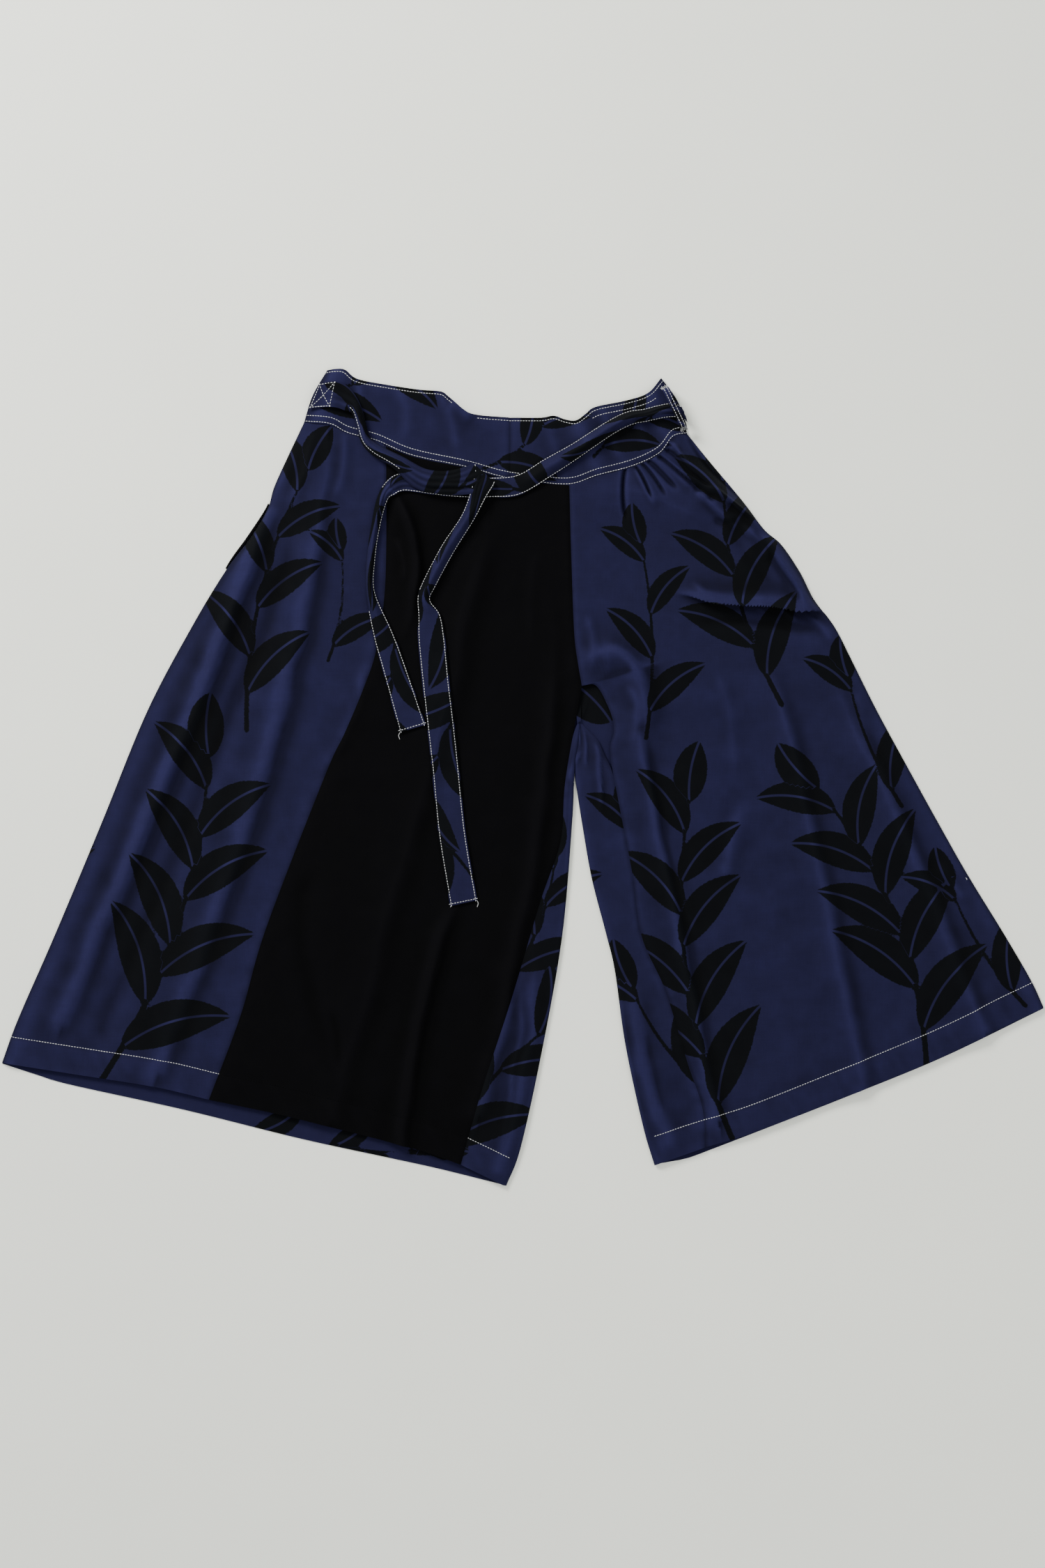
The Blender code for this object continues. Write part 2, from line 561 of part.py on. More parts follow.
def main():
    for thing in list(bpy.data.objects):
        bpy.data.objects.remove(thing)
    printed = cloth_material("printed_cotton", NAVY, 0.85)
    plain = cloth_material("black_cotton", BLACK, 0.85)
    rows = panel_rows()
    left_side = along(LEFT_SIDE_EDGE, rows)
    right_side = along(RIGHT_SIDE_EDGE, rows)
    panel_seam = along(PANEL_SEAM, rows)
    left_inner = two_part(CENTRE_SEAM, LEFT_INSEAM, rows)
    right_inner = two_part(CENTRE_SEAM, RIGHT_INSEAM, rows)

    left_side_grid = front_panel((WAIST_SIDE, SIDE_HEM, left_side, panel_seam), SIDE_COLUMNS, "first")
    centre_grid = front_panel((WAIST_CENTRE, CENTRE_HEM, panel_seam, left_inner), CENTRE_COLUMNS, None)
    right_grid = front_panel((WAIST_RIGHT, RIGHT_HEM, right_inner, right_side), RIGHT_COLUMNS, "last")
    left_waist = WAIST_SIDE[:-1] + WAIST_CENTRE[1:]
    back_left_grid = back_panel(left_waist, LEFT_BACK_HEM, left_side, left_inner, LEFT_FOLD,
                                LEFT_RISE_SHARE)
    back_right_grid = back_panel(WAIST_RIGHT[::-1], RIGHT_BACK_HEM, right_side, right_inner, RIGHT_FOLD,
                                 RIGHT_RISE_SHARE)
    wall("front_left_side", left_side_grid, CLOTH, printed)
    wall("front_left_centre", centre_grid, CLOTH, plain)
    wall("front_right", right_grid, CLOTH, printed)
    wall("back_left", back_left_grid, CLOTH, printed)
    wall("back_right", back_right_grid, CLOTH, printed)

    front_seam = waist_line([left_side_grid, centre_grid, right_grid])
    left_seam, right_seam = cut_at(front_seam, BAND_MIDDLE[0])
    back_seam = waist_line([back_left_grid, back_right_grid[:, ::-1]])
    back_top = [(x, y - BACK_BAND_DROP) for x, y in BAND_TOP_LEFT[:-1] + BAND_TOP_RIGHT]
    wall("waistband_front_left",
         band_panel(BAND_TOP_LEFT, left_seam, BAND_LEFT_END, BAND_MIDDLE, band_level, ("left",)),
         BAND_CLOTH, printed)
    wall("waistband_front_right",
         band_panel(BAND_TOP_RIGHT, right_seam, BAND_MIDDLE, BAND_RIGHT_END, band_level, ("right",)),
         BAND_CLOTH, printed)
    wall("waistband_back",
         band_panel(back_top, back_seam, BAND_LEFT_END, BAND_RIGHT_END, flat_band_level, ()),
         BAND_CLOTH, printed)

    tie("tie_left", LEFT_TIE, printed)
    tie("tie_right", RIGHT_TIE, printed)
    belt_loop(printed)
    pocket_facing(printed)


main()
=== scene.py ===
"""Wide-leg culottes with a tie waist, laid out flat: cloth shells, print, stitching and stage.

Positions are in millimetres: +X to the viewer's right, +Y towards the waist, +Z up off the
surface. ORIGIN is where the frame's origin lies among them. Meshes are made in metres.
"""
import math
from collections import namedtuple

import bmesh
import bpy
import numpy as np
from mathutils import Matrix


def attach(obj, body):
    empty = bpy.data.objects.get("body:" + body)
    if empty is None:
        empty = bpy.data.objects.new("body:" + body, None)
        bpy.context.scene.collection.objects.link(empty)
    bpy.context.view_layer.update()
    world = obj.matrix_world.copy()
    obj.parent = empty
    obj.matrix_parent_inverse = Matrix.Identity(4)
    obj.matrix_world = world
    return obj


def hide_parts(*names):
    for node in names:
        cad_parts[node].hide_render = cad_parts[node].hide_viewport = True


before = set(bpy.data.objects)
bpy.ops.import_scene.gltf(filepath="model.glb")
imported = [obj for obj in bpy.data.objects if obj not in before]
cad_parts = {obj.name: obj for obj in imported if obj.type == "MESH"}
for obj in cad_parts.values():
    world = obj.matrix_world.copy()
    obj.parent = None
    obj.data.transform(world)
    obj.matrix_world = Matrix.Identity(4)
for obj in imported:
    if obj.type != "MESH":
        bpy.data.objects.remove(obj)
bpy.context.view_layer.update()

bl_info = {
    "name": "Tie-waist culottes",
    "version": (1, 0, 0),
    "blender": (4, 5, 0),
    "location": "View3D > Sidebar > Culottes",
    "description": "Builds laid-out culottes: panels, waistband, ties, stitching and a pale stage",
    "category": "Object",
}

MM = 0.001
LOWEST = 0.00002
BODY = "root"
ORIGIN = np.array([1.0, -0.4, 0.0])

# Cloth levels over the surface, and the thickness that a tie lies on, in millimetres
FLOOR_LEVEL = 0.04
FRONT_REST = 4.4
FRONT_LOWEST = 2.0
SIDE_SEAM_LEVEL = 1.5
BAND_REST = 4.6
BAND_SEAM_LEVEL = 2.2
BAND_THICKNESS = 0.9
PANEL_THICKNESS = 0.6

# Reach of rolled edges, of the rolls at the inner folds and of the step at the waist seam
EDGE_ROLL = 14.0
FOLD_REACH = 4.0
TIGHTEST_ROLL = 1.4
LYING_STRIP = 14.0
WAIST_BLEND = 12.0

# How folds run: steps, fading of the ends, wandering, and how sharply troughs stop at the lowest level
FOLD_STEPS = 24
FOLD_FADE = 0.25
WANDER = 2.6
WANDER_SIZE = 34
GROUND_EASE = 2.2

# Mesh steps: rows down each part of a panel, columns across it
ROWS_TO_CROTCH = 110
ROWS_TO_HEM = 145
SIDE_COLUMNS = 64
CENTRE_COLUMNS = 96
RIGHT_COLUMNS = 190
FLOOR_COLUMNS = 40
ROLL_COLUMNS = 12
STRIP_COLUMNS = 20
BAND_ROWS = 24
BAND_COLUMNS = 74
TIE_COLUMNS = 28
TIE_STEP = 1.8

# Shares of the panels' height: the crotch, and where each back panel's roll is fully up
CROTCH_SHARE = 0.3
LEFT_ROLL_SHARE = 0.38
RIGHT_ROLL_SHARE = 0.46

# Soft unevenness of the cloth: rise, size and shift of each layer of noise
CRUMPLES = ((0.55, 46, 1.3), (0.28, 19, 5.9), (0.10, 8, 2.2))

# Hems and seams: depths, heights and reaches in millimetres
HEM_DEPTH = 30.0
HEM_STITCH_BACK = 1.5
HEM_STITCH = HEM_DEPTH - HEM_STITCH_BACK
HEM_STEP = 0.45
HEM_ROPING = 0.22
HEM_LINE_DEPTH = 0.35
SEAM_GROOVE = 0.9
SEAM_REACH = 2.2
SEAM_PUCKER = 0.25
PUCKER_REACH = 8.0
BAND_GROOVE_SHARE = 0.7
BAND_TOP_DROP = 1.2
BAND_TOP_REACH = 1.6
BAND_LINE_DEPTH = 0.3

# Ties: width, lift and crumple in millimetres, how round their hump is and how gathers waver
TIE_WIDTH = 28.0
TIE_LIFT = 1.0
TIE_CRUMPLE = 0.35
TIE_ROUNDNESS = 1.6
GATHER_WAVER = 0.14
X_BOX_LENGTH = 19.0

# Painted shade: the depth of a dip that gets the darkest painted shade, and the angle that makes an edge
# sharp
PAINTED_SHADE_DEPTH = 0.9
SHARP_ANGLE = math.radians(62)

# Stage, in metres: softboxes with their place, size and share of the main light's power
FLOOR_HALF = 4.0
FLOOR_DROP = -0.0003
SOFTBOXES = (
    ("key_softbox", (-1.7, 1.9, 1.7), 1.0, 1.0),
    ("fill_softbox", (1.4, -0.8, 2.6), 2.2, 0.22),
)
ROOM_COLOUR = (0.95, 0.98, 1.0, 1.0)
ROOM_LIGHT = 0.83
CAMERA_PLACE = (-0.0003, -0.0068)

# Cloth finishes. Scales are noise features per metre, and shades are shares of the dye's colour
YARN_PITCH = 0.0007
SLUB_STRETCHES = ((900.0, 60.0, 60.0), (60.0, 900.0, 60.0))
FADE_SCALES = (7.0, 60.0)
CREASE_SCALE = 26.0
FADE_SPAN = (0.36, 0.64)
CLOTH_ROUGHNESS = (0.78, 0.9)
INK_GRAIN_SCALE = 420.0
INK_RAGGEDNESS = 2.2
INK_EDGE = 0.35
VEIN_EDGES = (0.9, 1.5)
WEAVE_SHADES = (0.9, 1.05)
# Painted shade and painted highlight: shares of the colour in the deepest dips and on the highest crests
PAINTED_SHADE_SPAN = (1.35, 0.45)
WEAVE_RELIEF = 0.16
CREASE_RELIEF = 0.30
RELIEF_STRENGTH = 0.55
RELIEF_DEPTH = 0.0007
SHEEN_TINT = (0.55, 0.6, 0.9, 1.0)
NAVY_SHADES = (1.12, 0.88)
BLACK_SHADES = (1.2, 0.8)
PRINTED_GLOSS = 0.07
PRINTED_SHEEN = 0.017
BLACK_GLOSS = 0.05
THREAD_MOTTLE = 900.0
FLOOR_MOTTLE = 5.0

# Thread: how much stitches vary in length and thickness, and loose ends against stitches
STITCH_SEED = 3
STITCH_LEAST = (0.86, 0.85, 0.85)
STITCH_MOST = (1.06, 1.15, 1.15)
LOOSE_END_SHARE = 0.8

# Outlines as (x, y) key points, joined by smooth curves
WAIST_SIDE = [(-225, 366), (-198, 363), (-180, 354), (-150, 346), (-140, 341)]
WAIST_CENTRE = [(-140, 341), (-114, 331), (-58, 319), (-26, 310), (10, 304), (49, 301)]
WAIST_RIGHT = [(49, 301), (78, 310), (115, 320), (142, 333), (156, 350), (171, 354)]
LEFT_SIDE_EDGE = [(-225, 366), (-243, 328), (-256, 299), (-263, 276), (-281, 246), (-306, 213),
                  (-341, 155), (-387, 68), (-434, -47), (-482, -162), (-520, -249), (-537, -295)]
RIGHT_SIDE_EDGE = [(171, 354), (192, 328), (228, 285), (250, 256), (268, 240), (287, 212), (301, 185),
                   (323, 155), (341, 120), (367, 68), (404, 0), (430, -47), (460, -100), (498, -162),
                   (526, -210), (539, -238)]
PANEL_SEAM = [(-140, 341), (-140, 230), (-143, 176), (-151, 128), (-164, 90), (-183, 45), (-203, 2),
              (-264, -156), (-290, -245), (-323, -333)]
CENTRE_SEAM = [(49, 301), (51, 230), (54, 150), (58, 117), (62, 94)]
LEFT_INSEAM = [(62, 94), (45, -3), (40, -66), (19, -129), (-11, -230), (-41, -322), (-63, -400)]
RIGHT_INSEAM = [(62, 94), (77, 94), (91, 68), (95, 48), (91, 26), (98, -16), (114, -99),
                (124, -165), (148, -220), (171, -295), (186, -340), (190, -382)]
LEFT_FOLD = [(62, 92), (60, 50), (57, 27), (54.3, 4), (52, -47), (42, -162), (22, -277), (-1, -382),
             (-16, -422)]
RIGHT_FOLD = [(62, 92), (57.6, 50), (56.1, 27), (54.4, 5), (57, -15), (62, -47), (72, -104), (87, -162),
              (96, -200), (107, -277), (125, -360), (137, -401)]
SIDE_HEM = [(-537, -295), (-460, -307), (-378, -320), (-323, -333)]
CENTRE_HEM = [(-323, -333), (-251, -348), (-186, -364), (-106, -385), (-63, -400)]
RIGHT_HEM = [(190, -382), (242, -366), (339, -328), (436, -288), (501, -256), (539, -238)]
LEFT_BACK_HEM = [(-537, -296), (-500, -308), (-466, -318), (-348, -344), (-227, -374), (-130, -395),
                 (-80, -406), (-16, -422)]
RIGHT_BACK_HEM = [(539, -239), (436, -289), (339, -329), (242, -367), (190, -387), (165, -396), (137, -401)]
BAND_TOP_LEFT = [(-201, 420), (-191, 421), (-182, 420), (-170, 411), (-140, 405), (-107, 400), (-84, 398),
                 (-76, 393), (-60, 379), (-48, 374), (-12, 371)]
BAND_TOP_RIGHT = [(-12, 371), (20, 371), (33, 373), (45, 369), (56, 368), (66, 375), (76, 382), (109, 389),
                  (130, 396), (144, 412)]
BAND_SEAM_LEFT = WAIST_SIDE[:-1] + WAIST_CENTRE[1:4] + [(-12, 307)]
BAND_SEAM_RIGHT = [(-12, 307), (10, 304), (49, 301)] + WAIST_RIGHT[1:]
BAND_LEFT_END = [(-201, 420), (-216, 394), (-225, 366)]
BAND_RIGHT_END = [(144, 412), (162, 386), (171, 354)]
BAND_MIDDLE = [(-12, 371), (-12, 307)]
BACK_BAND_DROP = 5.0

# Folds of the front layer
Fold = namedtuple("Fold", "x0 y0 xm ym x1 y1 reach rise head foot steep", defaults=(1.0,))
Fold.__doc__ = """A bent ridge (rise over 0) or trough (under 0) by way of a start, a middle and an end.

reach is its half width, and head and foot are the shares of the rise left at its ends. steep is the
half width on the left of its run as a share of the other, so a small share makes a steep drop.
"""
HIP_TUCK = Fold(312, 172, 246, 182, 154, 190, 13, 13.0, 0.25, 0.0, 0.16)
HIP_LEAN = (-0.6, -8.0)
MAIN_FOLDS = [
    Fold(-263, 272, -330, 90, -474, -252, 17, 7.5, 0.6, 0.5, 0.5),
    Fold(-236, 250, -296, 80, -436, -262, 13, -2.6, 0.2, 0.6),
    Fold(-201, 342, -252, 60, -374, -300, 24, 5.5, 0.3, 0.6, 0.35),
    Fold(-130, 292, -108, 235, -118, 150, 11, 7.0, 0.3, 0.1, 0.4),
    Fold(-112, 252, -104, 205, -118, 160, 10, -1.8, 0.0, 0.0),
    Fold(-62, -120, -100, -235, -121, -380, 15, 7.0, 0.0, 0.9, 0.35),
    Fold(-209, -90, -228, -170, -190, -320, 12, -1.8, 0.0, 0.3),
    Fold(-35, 256, -82, 60, -196, -350, 32, 4.6, 0.2, 0.7, 0.4),
    Fold(36, 150, 12, -90, -44, -345, 18, 5.0, 0.1, 0.8, 0.4),
    Fold(138, 276, 125, 302, 116, 322, 9, 4.0, 0.0, 0.8, 0.3),
    Fold(143, 329, 172, 310, 224, 277, 8, 6.0, 0.8, 0.1, 0.35),
    Fold(250, 256, 198, 300, 157, 338, 11, 9.5, 0.1, 0.8, 0.3),
    Fold(224, 254, 200, 276, 180, 296, 13, 7.0, 0.1, 0.1, 0.35),
    Fold(212, 254, 236, 226, 266, 194, 9, -2.0, 0.0, 0.0),
    Fold(300, 172, 270, 222, 240, 256, 12, 8.0, 0.2, 0.1, 0.4),
    HIP_TUCK,
    Fold(166, 163, 240, 158, 318, 150, 7, -2.0, 0.0, 0.0),
    Fold(58, 118, 115, 112, 128, 0, 20, 9.0, 0.2, 0.0, 0.7),
    Fold(122, 50, 142, -60, 200, -350, 17, 7.0, 0.0, 0.7, 0.35),
    Fold(246, 138, 300, -60, 352, -322, 28, 6.5, 0.0, 0.6, 0.35),
    Fold(312, 110, 400, -70, 474, -262, 26, 6.5, 0.0, 0.6, 0.35),
    Fold(230, -20, 216, -70, 206, -110, 10, 2.6, 0.0, 0.0),
    Fold(108, -200, 128, -300, 150, -372, 12, 4.0, 0.0, 0.6),
    Fold(14, -175, 6, -290, -24, -405, 9, 2.5, 0.2, 0.8),
]
# Creases too fine for the solids
FINE_FOLDS = [
    Fold(-240, 330, -252, 300, -262, 276, 5, 1.4, 0.5, 0.2),
    Fold(-287, 189, -297, 168, -306, 142, 5, 1.6, 0.0, 0.0),
    Fold(-215, 352, -226, 318, -246, 270, 6, 1.6, 0.8, 0.0),
    Fold(-182, 348, -186, 318, -196, 276, 7, 1.5, 0.8, 0.0),
    Fold(-160, 120, -176, 60, -206, 6, 6, 1.2, 0.0, 0.0),
    Fold(-130, 250, -122, 224, -124, 196, 4, 1.8, 0.0, 0.0),
    Fold(-198, -237, -192, -270, -186, -304, 5, -1.2, 0.0, 0.0),
    Fold(-40, 236, -60, 170, -66, 110, 7, 1.0, 0.0, 0.0),
    Fold(20, 240, 10, 190, 14, 130, 8, 1.0, 0.0, 0.0),
    Fold(88, 300, 140, 286, 196, 262, 26, 4.5, 0.6, 0.1),
    Fold(107, 317, 105, 292, 109, 262, 3.2, -5.5, 0.9, 0.0, 0.5),
    Fold(118, 319, 128, 303, 135, 282, 3.4, -6.5, 0.9, 0.0, 0.5),
    Fold(126, 322, 139, 308, 150, 288, 3.0, -4.5, 0.9, 0.0, 0.5),
    Fold(133, 325, 145, 315, 163, 296, 3.4, -7.0, 0.9, 0.0, 0.5),
    Fold(144, 329, 164, 314, 191, 291, 3.6, -8.0, 0.9, 0.1, 0.5),
    Fold(152, 336, 173, 321, 198, 294, 3.0, -5.0, 0.8, 0.0, 0.5),
    Fold(160, 340, 188, 306, 240, 266, 3.4, 3.5, 0.8, 0.2, 0.5),
    Fold(176, 346, 200, 314, 232, 280, 3.4, -3.5, 0.6, 0.0, 0.5),
    Fold(176, 298, 190, 292, 198, 280, 5, -4.5, 0.2, 0.0),
    Fold(190, 300, 206, 290, 214, 276, 5, 3.0, 0.0, 0.0, 0.4),
    Fold(196, 268, 210, 262, 224, 266, 4, -1.6, 0.0, 0.0),
    Fold(222, 262, 244, 244, 256, 224, 5, 2.6, 0.0, 0.0),
    Fold(172, 204, 200, 190, 236, 188, 4, 2.0, 0.0, 0.0),
    Fold(180, 178, 226, 180, 256, 166, 4, 1.8, 0.0, 0.0),
    Fold(236, 186, 262, 176, 286, 158, 5, 3.2, 0.0, 0.0),
    Fold(280, 176, 306, 158, 322, 138, 5, 2.0, 0.0, 0.0),
    Fold(84, 132, 112, 122, 128, 84, 6, 2.6, 0.0, 0.0),
    Fold(104, 96, 118, 70, 116, 26, 6, 2.0, 0.0, 0.0),
    Fold(66, 170, 74, 140, 70, 108, 6, 1.6, 0.0, 0.2),
    Fold(431, -84, 444, -106, 458, -130, 5, 1.3, 0.0, 0.0),
    Fold(340, 96, 352, 60, 356, 20, 7, 1.0, 0.0, 0.0),
    Fold(152, -40, 162, -110, 184, -180, 7, 1.2, 0.0, 0.0),
    Fold(200, 120, 214, 60, 218, -10, 9, 1.2, 0.0, 0.0),
    Fold(128, -255, 138, -310, 150, -354, 5, -1.5, 0.0, 0.2),
    Fold(2, -215, -6, -290, -22, -380, 4, 1.4, 0.0, 0.4),
    Fold(84, 78, 70, 60, 62, 30, 4, 3.4, 0.2, 0.0, 0.4),
    Fold(86, 66, 74, 40, 70, 8, 4, 3.2, 0.2, 0.0, 0.4),
    Fold(90, 48, 84, 10, 80, -40, 4, 3.0, 0.0, 0.0, 0.4),
    Fold(66, 30, 58, 14, 50, -6, 4, 2.6, 0.2, 0.0, 0.4),
]
BAND_FOLDS = [
    Fold(-192, 420, -196, 395, -205, 365, 16, 4.0, 0.8, 0.6),
    Fold(-74, 392, -60, 384, -44, 372, 12, 6.0, 0.2, 0.2),
    Fold(55, 368, 66, 345, 80, 312, 14, 3.0, 0.6, 0.4),
    Fold(128, 398, 140, 374, 154, 346, 14, 5.0, 0.8, 0.6),
]
BAND_FINE_FOLDS = [
    Fold(-176, 414, -168, 392, -172, 366, 5, 1.2, 0.4, 0.2),
    Fold(-132, 404, -120, 378, -124, 345, 8, 1.0, 0.4, 0.2),
    Fold(-90, 396, -72, 366, -66, 330, 7, 1.2, 0.4, 0.2),
    Fold(28, 370, 34, 340, 44, 312, 7, 1.0, 0.4, 0.2),
    Fold(84, 384, 92, 356, 104, 326, 6, 1.3, 0.4, 0.3),
    Fold(114, 388, 122, 362, 132, 336, 6, 1.3, 0.4, 0.3),
]

# The ties' routes
Station = namedtuple("Station", "xa ya xb yb lift arch")
Station.__doc__ = """A tie's two edges, its height over what it lies on, and the rise of its middle."""
LEFT_TIE = [
    Station(-209, 405, -220, 380, 0.9, 0.0),
    Station(-190, 407, -195, 381, 0.9, 0.0),
    Station(-177, 400, -183, 378, 1.8, 3.0),
    Station(-167, 384, -175, 375, 2.0, 7.0),
    Station(-161, 364, -170, 362, 1.6, 8.0),
    Station(-157, 350, -165, 345, 2.4, 8.0),
    Station(-146, 341, -155, 333, 3.4, 7.0),
    Station(-122, 329, -132, 318, 4.4, 6.0),
    Station(-99, 317, -110, 298, 5.2, 4.0),
    Station(-78, 315, -82, 291, 5.4, 3.0),
    Station(-59, 319, -50, 292, 5.6, 1.0),
    Station(-49, 322, -28, 303, 5.6, 1.0),
    Station(-51, 301, -37, 287, 5.2, 2.0),
    Station(-61, 271, -50, 264, 3.0, 6.0),
    Station(-82, 239, -70, 232, 1.2, 7.0),
    Station(-101, 203, -89, 197, 1.2, 7.0),
    Station(-107, 186, -95, 182, 1.2, 7.0),
    Station(-107, 166, -84, 167, 0.8, 3.0),
    Station(-107, 140, -79, 142, 0.6, 1.0),
    Station(-102, 90, -74, 92, 0.6, 0.6),
    Station(-94, 20, -66, 23, 0.6, 0.6),
    Station(-86, -60, -58, -56, 0.6, 0.6),
    Station(-74, -133, -46, -127, 0.6, 0.0),
]
RIGHT_TIE = [
    Station(165, 381, 171, 366, 1.0, 1.5),
    Station(157, 385, 163, 370, 1.0, 3.0),
    Station(147, 384, 154, 371, 1.0, 5.0),
    Station(128, 379, 132, 367, 1.0, 9.0),
    Station(108, 376, 113, 363, 1.0, 9.0),
    Station(86, 365, 92, 352, 1.0, 9.0),
    Station(55, 345, 62, 331, 1.0, 8.0),
    Station(24, 328, 32, 311, 1.0, 6.0),
    Station(-4, 312, -2, 291, 0.8, 1.5),
    Station(-32, 309, -32, 288, 0.7, 0.5),
    Station(-62, 309, -62, 288, 0.7, 0.4),
    Station(-90, 311, -92, 291, 0.6, 0.4),
    Station(-118, 314, -120, 295, 0.6, 0.8),
    Station(-135, 309, -131, 291, 0.6, 3.0),
    Station(-148, 290, -139, 285, 0.8, 6.0),
    Station(-155, 258, -147, 257, 0.8, 6.0),
    Station(-160, 222, -152, 222, 0.8, 6.0),
    Station(-160, 190, -152, 190, 0.8, 6.0),
    Station(-153, 146, -134, 151, 0.8, 3.0),
    Station(-144, 112, -121, 118, 0.6, 1.0),
    Station(-126, 46, -99, 54, 0.6, 0.0),
]

# Lengthwise gathers in the ties
Gather = namedtuple("Gather", "x y reach height waves")
Gather.__doc__ = """The place, reach and height of some gathers, and their number across the tie."""
GATHERS = [
    Gather(-92, 300, 34, 0.8, 3.3),
    Gather(-60, 300, 24, 0.7, 4.4),
    Gather(146, 378, 34, 0.7, 3.6),
    Gather(-148, 296, 26, 0.6, 3),
    Gather(-176, 388, 22, 0.6, 3),
]

# Belt loop and pocket facing, in millimetres, grid steps and shares of the side edge
LOOP_TOP = (146, 403)
LOOP_FOOT = (168, 357)
LOOP_WIDTH = 7.0
LOOP_LIFT = 0.6
LOOP_ARCH = 12.6
LOOP_STEEPNESS = 2.6
LOOP_ROWS = 40
LOOP_COLUMNS = 8
POCKET_FROM = 0.125
POCKET_TO = 0.235
POCKET_SHOWN = 3.5
POCKET_CLEAR = 0.2
POCKET_LEVEL = 0.5
POCKET_RISE = 0.7
POCKET_ROWS = 40
POCKET_COLUMNS = 6

# Stitch lines, in millimetres from the edge they follow
TOP_STITCH_INSET = 3.4
TWIN_STITCH = (1.6, 7.6)
TIE_STITCH_INSET = 1.5
STITCH_PROUD = 0.08
FOLDED_TIE = 12.5
HALF_FOLDED = (8.5, 16.0)
UPRIGHT_ENOUGH = 0.15

# Stitch lines in steps of their piece's grid
FOLD_STITCH = 6.5
X_BOX_START = 0.8
X_BOX_MARGIN = 1.0
LOOP_LINES = (2.0, 6.0)
LOOP_TACKS = (0.8, 1.6, 2.4, LOOP_ROWS - 2.4, LOOP_ROWS - 1.6, LOOP_ROWS - 0.8)

# Lines along the waistband's top: side, inset, first and last column of the band's grid
TOP_LINES = (("left", TOP_STITCH_INSET, 0, 50), ("left", TOP_STITCH_INSET, 62, None),
             ("right", TOP_STITCH_INSET, 0, None), ("right", TOP_STITCH_INSET + 6.0, 38, 66))

# Loose thread ends at the corners of the ties, and a short one at the right side seam
LOOSE_ENDS = [
    [(-73, -131, 6.4), (-74, -135, 6.0), (-77, -139, 5.4), (-76, -143, 5.2)],
    [(-47, -126, 6.4), (-45, -130, 6.0), (-46, -134, 5.4)],
    [(-125, 47, 6.8), (-127, 43, 6.4), (-126, 39, 5.8)],
    [(-100, 54, 6.8), (-97, 51, 6.4), (-95, 52, 5.8)],
    [(458, -104, 6.2), (459, -105, 6.6), (459, -106, 6.2)],
]

# Print: sprigs of pointed leaves, placed on the cloth
Sprig = namedtuple("Sprig", "x y angle stem bend pairs leaf width")
Sprig.__doc__ = """The place of a stem's base, its angle in degrees, its length and its bend to one side,
and the number of pairs, the length and the width of its leaves."""
SIDE_PRINT = [
    Sprig(-440, -322, 72, 380, -28, 4, 118, 44),
    Sprig(-284, 48, 76, 290, 20, 3, 92, 34),
    Sprig(-500, -120, 62, 120, 8, 1, 66, 26),
    Sprig(-200, 120, 84, 120, -8, 1, 62, 24),
]
RIGHT_PRINT = [
    Sprig(222, -384, 97, 380, 30, 4, 112, 41),
    Sprig(418, -306, 112, 330, -30, 4, 112, 41),
    Sprig(268, 74, 104, 250, 16, 3, 94, 35),
    Sprig(128, 40, 92, 210, -10, 2, 78, 29),
    Sprig(392, -30, 112, 150, 8, 1, 82, 31),
    Sprig(520, -236, 122, 150, 8, 1, 84, 31),
]
BACK_PRINT_AND_SHADE_LEAF = [
    Sprig(-90, -404, 50, 200, 14, 2, 104, 38),
    Sprig(-16, -216, 70, 150, -10, 2, 84, 30),
    Sprig(204, -330, 128, 150, 12, 1, 100, 36),
    Sprig(156, -160, 110, 130, 8, 1, 84, 30),
    # Painted shade: a stemless dark leaf laid in the gap under the crotch arch, where there is only shade
    Sprig(44, 104, -44, 6, 0, 0, 110, 58),
    Sprig(-350, -350, -8, 270, -12, 3, 74, 26),
]
BAND_PRINT = [
    Sprig(-236, 376, 14, 170, 14, 2, 76, 28),
    Sprig(-40, 318, 48, 120, -16, 2, 66, 26),
    Sprig(74, 330, 30, 110, 10, 2, 60, 24),
]
TIE_PRINT = [
    Sprig(-10, -30, 28, 150, 8, 2, 96, 34),
    Sprig(150, 40, -30, 150, -8, 2, 96, 34),
    Sprig(300, -40, 30, 160, 8, 2, 100, 36),
    Sprig(450, 42, -28, 150, -6, 2, 96, 34),
    Sprig(585, -36, 32, 110, 6, 1, 90, 34),
]

# How a sprig is drawn: the leaves' angle, and shares of its stem, leaf width and leaf length
LEAF_ANGLE = math.radians(44)
FIRST_LEAF = 0.16
LEAF_RUN = 0.72
STEM_WIDTHS = (0.075, 0.03)
TIP_LENGTH = 0.55
TIP_WIDTH = 0.42

# Least half width of a leaf and the distance that stands for no vein, in millimetres
THINNEST_LEAF = 0.4
NO_VEIN = 50.0
STROKE_POINTS = 24

# Random values that the smooth noise runs between
LATTICE = np.random.default_rng(11).random((257, 257))

# What has been made so far: materials, node groups, and each shell's grid and normals
made = {}


def smooth(share):
    """Eased step from 0 to 1."""
    share = np.clip(share, 0.0, 1.0)
    return share * share * (3.0 - 2.0 * share)


def curve_through(points, per_span=24):
    """Dense points on a smooth curve through the key points."""
    keys = np.array(points, dtype=float)
    if len(keys) == 2:
        steps = np.linspace(0.0, 1.0, per_span + 1)[:, None]
        return keys[0] + (keys[1] - keys[0]) * steps
    padded = np.vstack([2 * keys[0] - keys[1], keys, 2 * keys[-1] - keys[-2]])
    dense = []
    for before, start, end, after in zip(padded, padded[1:], padded[2:], padded[3:]):
        for step in range(per_span):
            t = step / per_span
            dense.append(0.5 * (2 * start + (end - before) * t
                                + (2 * before - 5 * start + 4 * end - after) * t ** 2
                                + (3 * start - before - 3 * end + after) * t ** 3))
    dense.append(keys[-1])
    return np.array(dense)


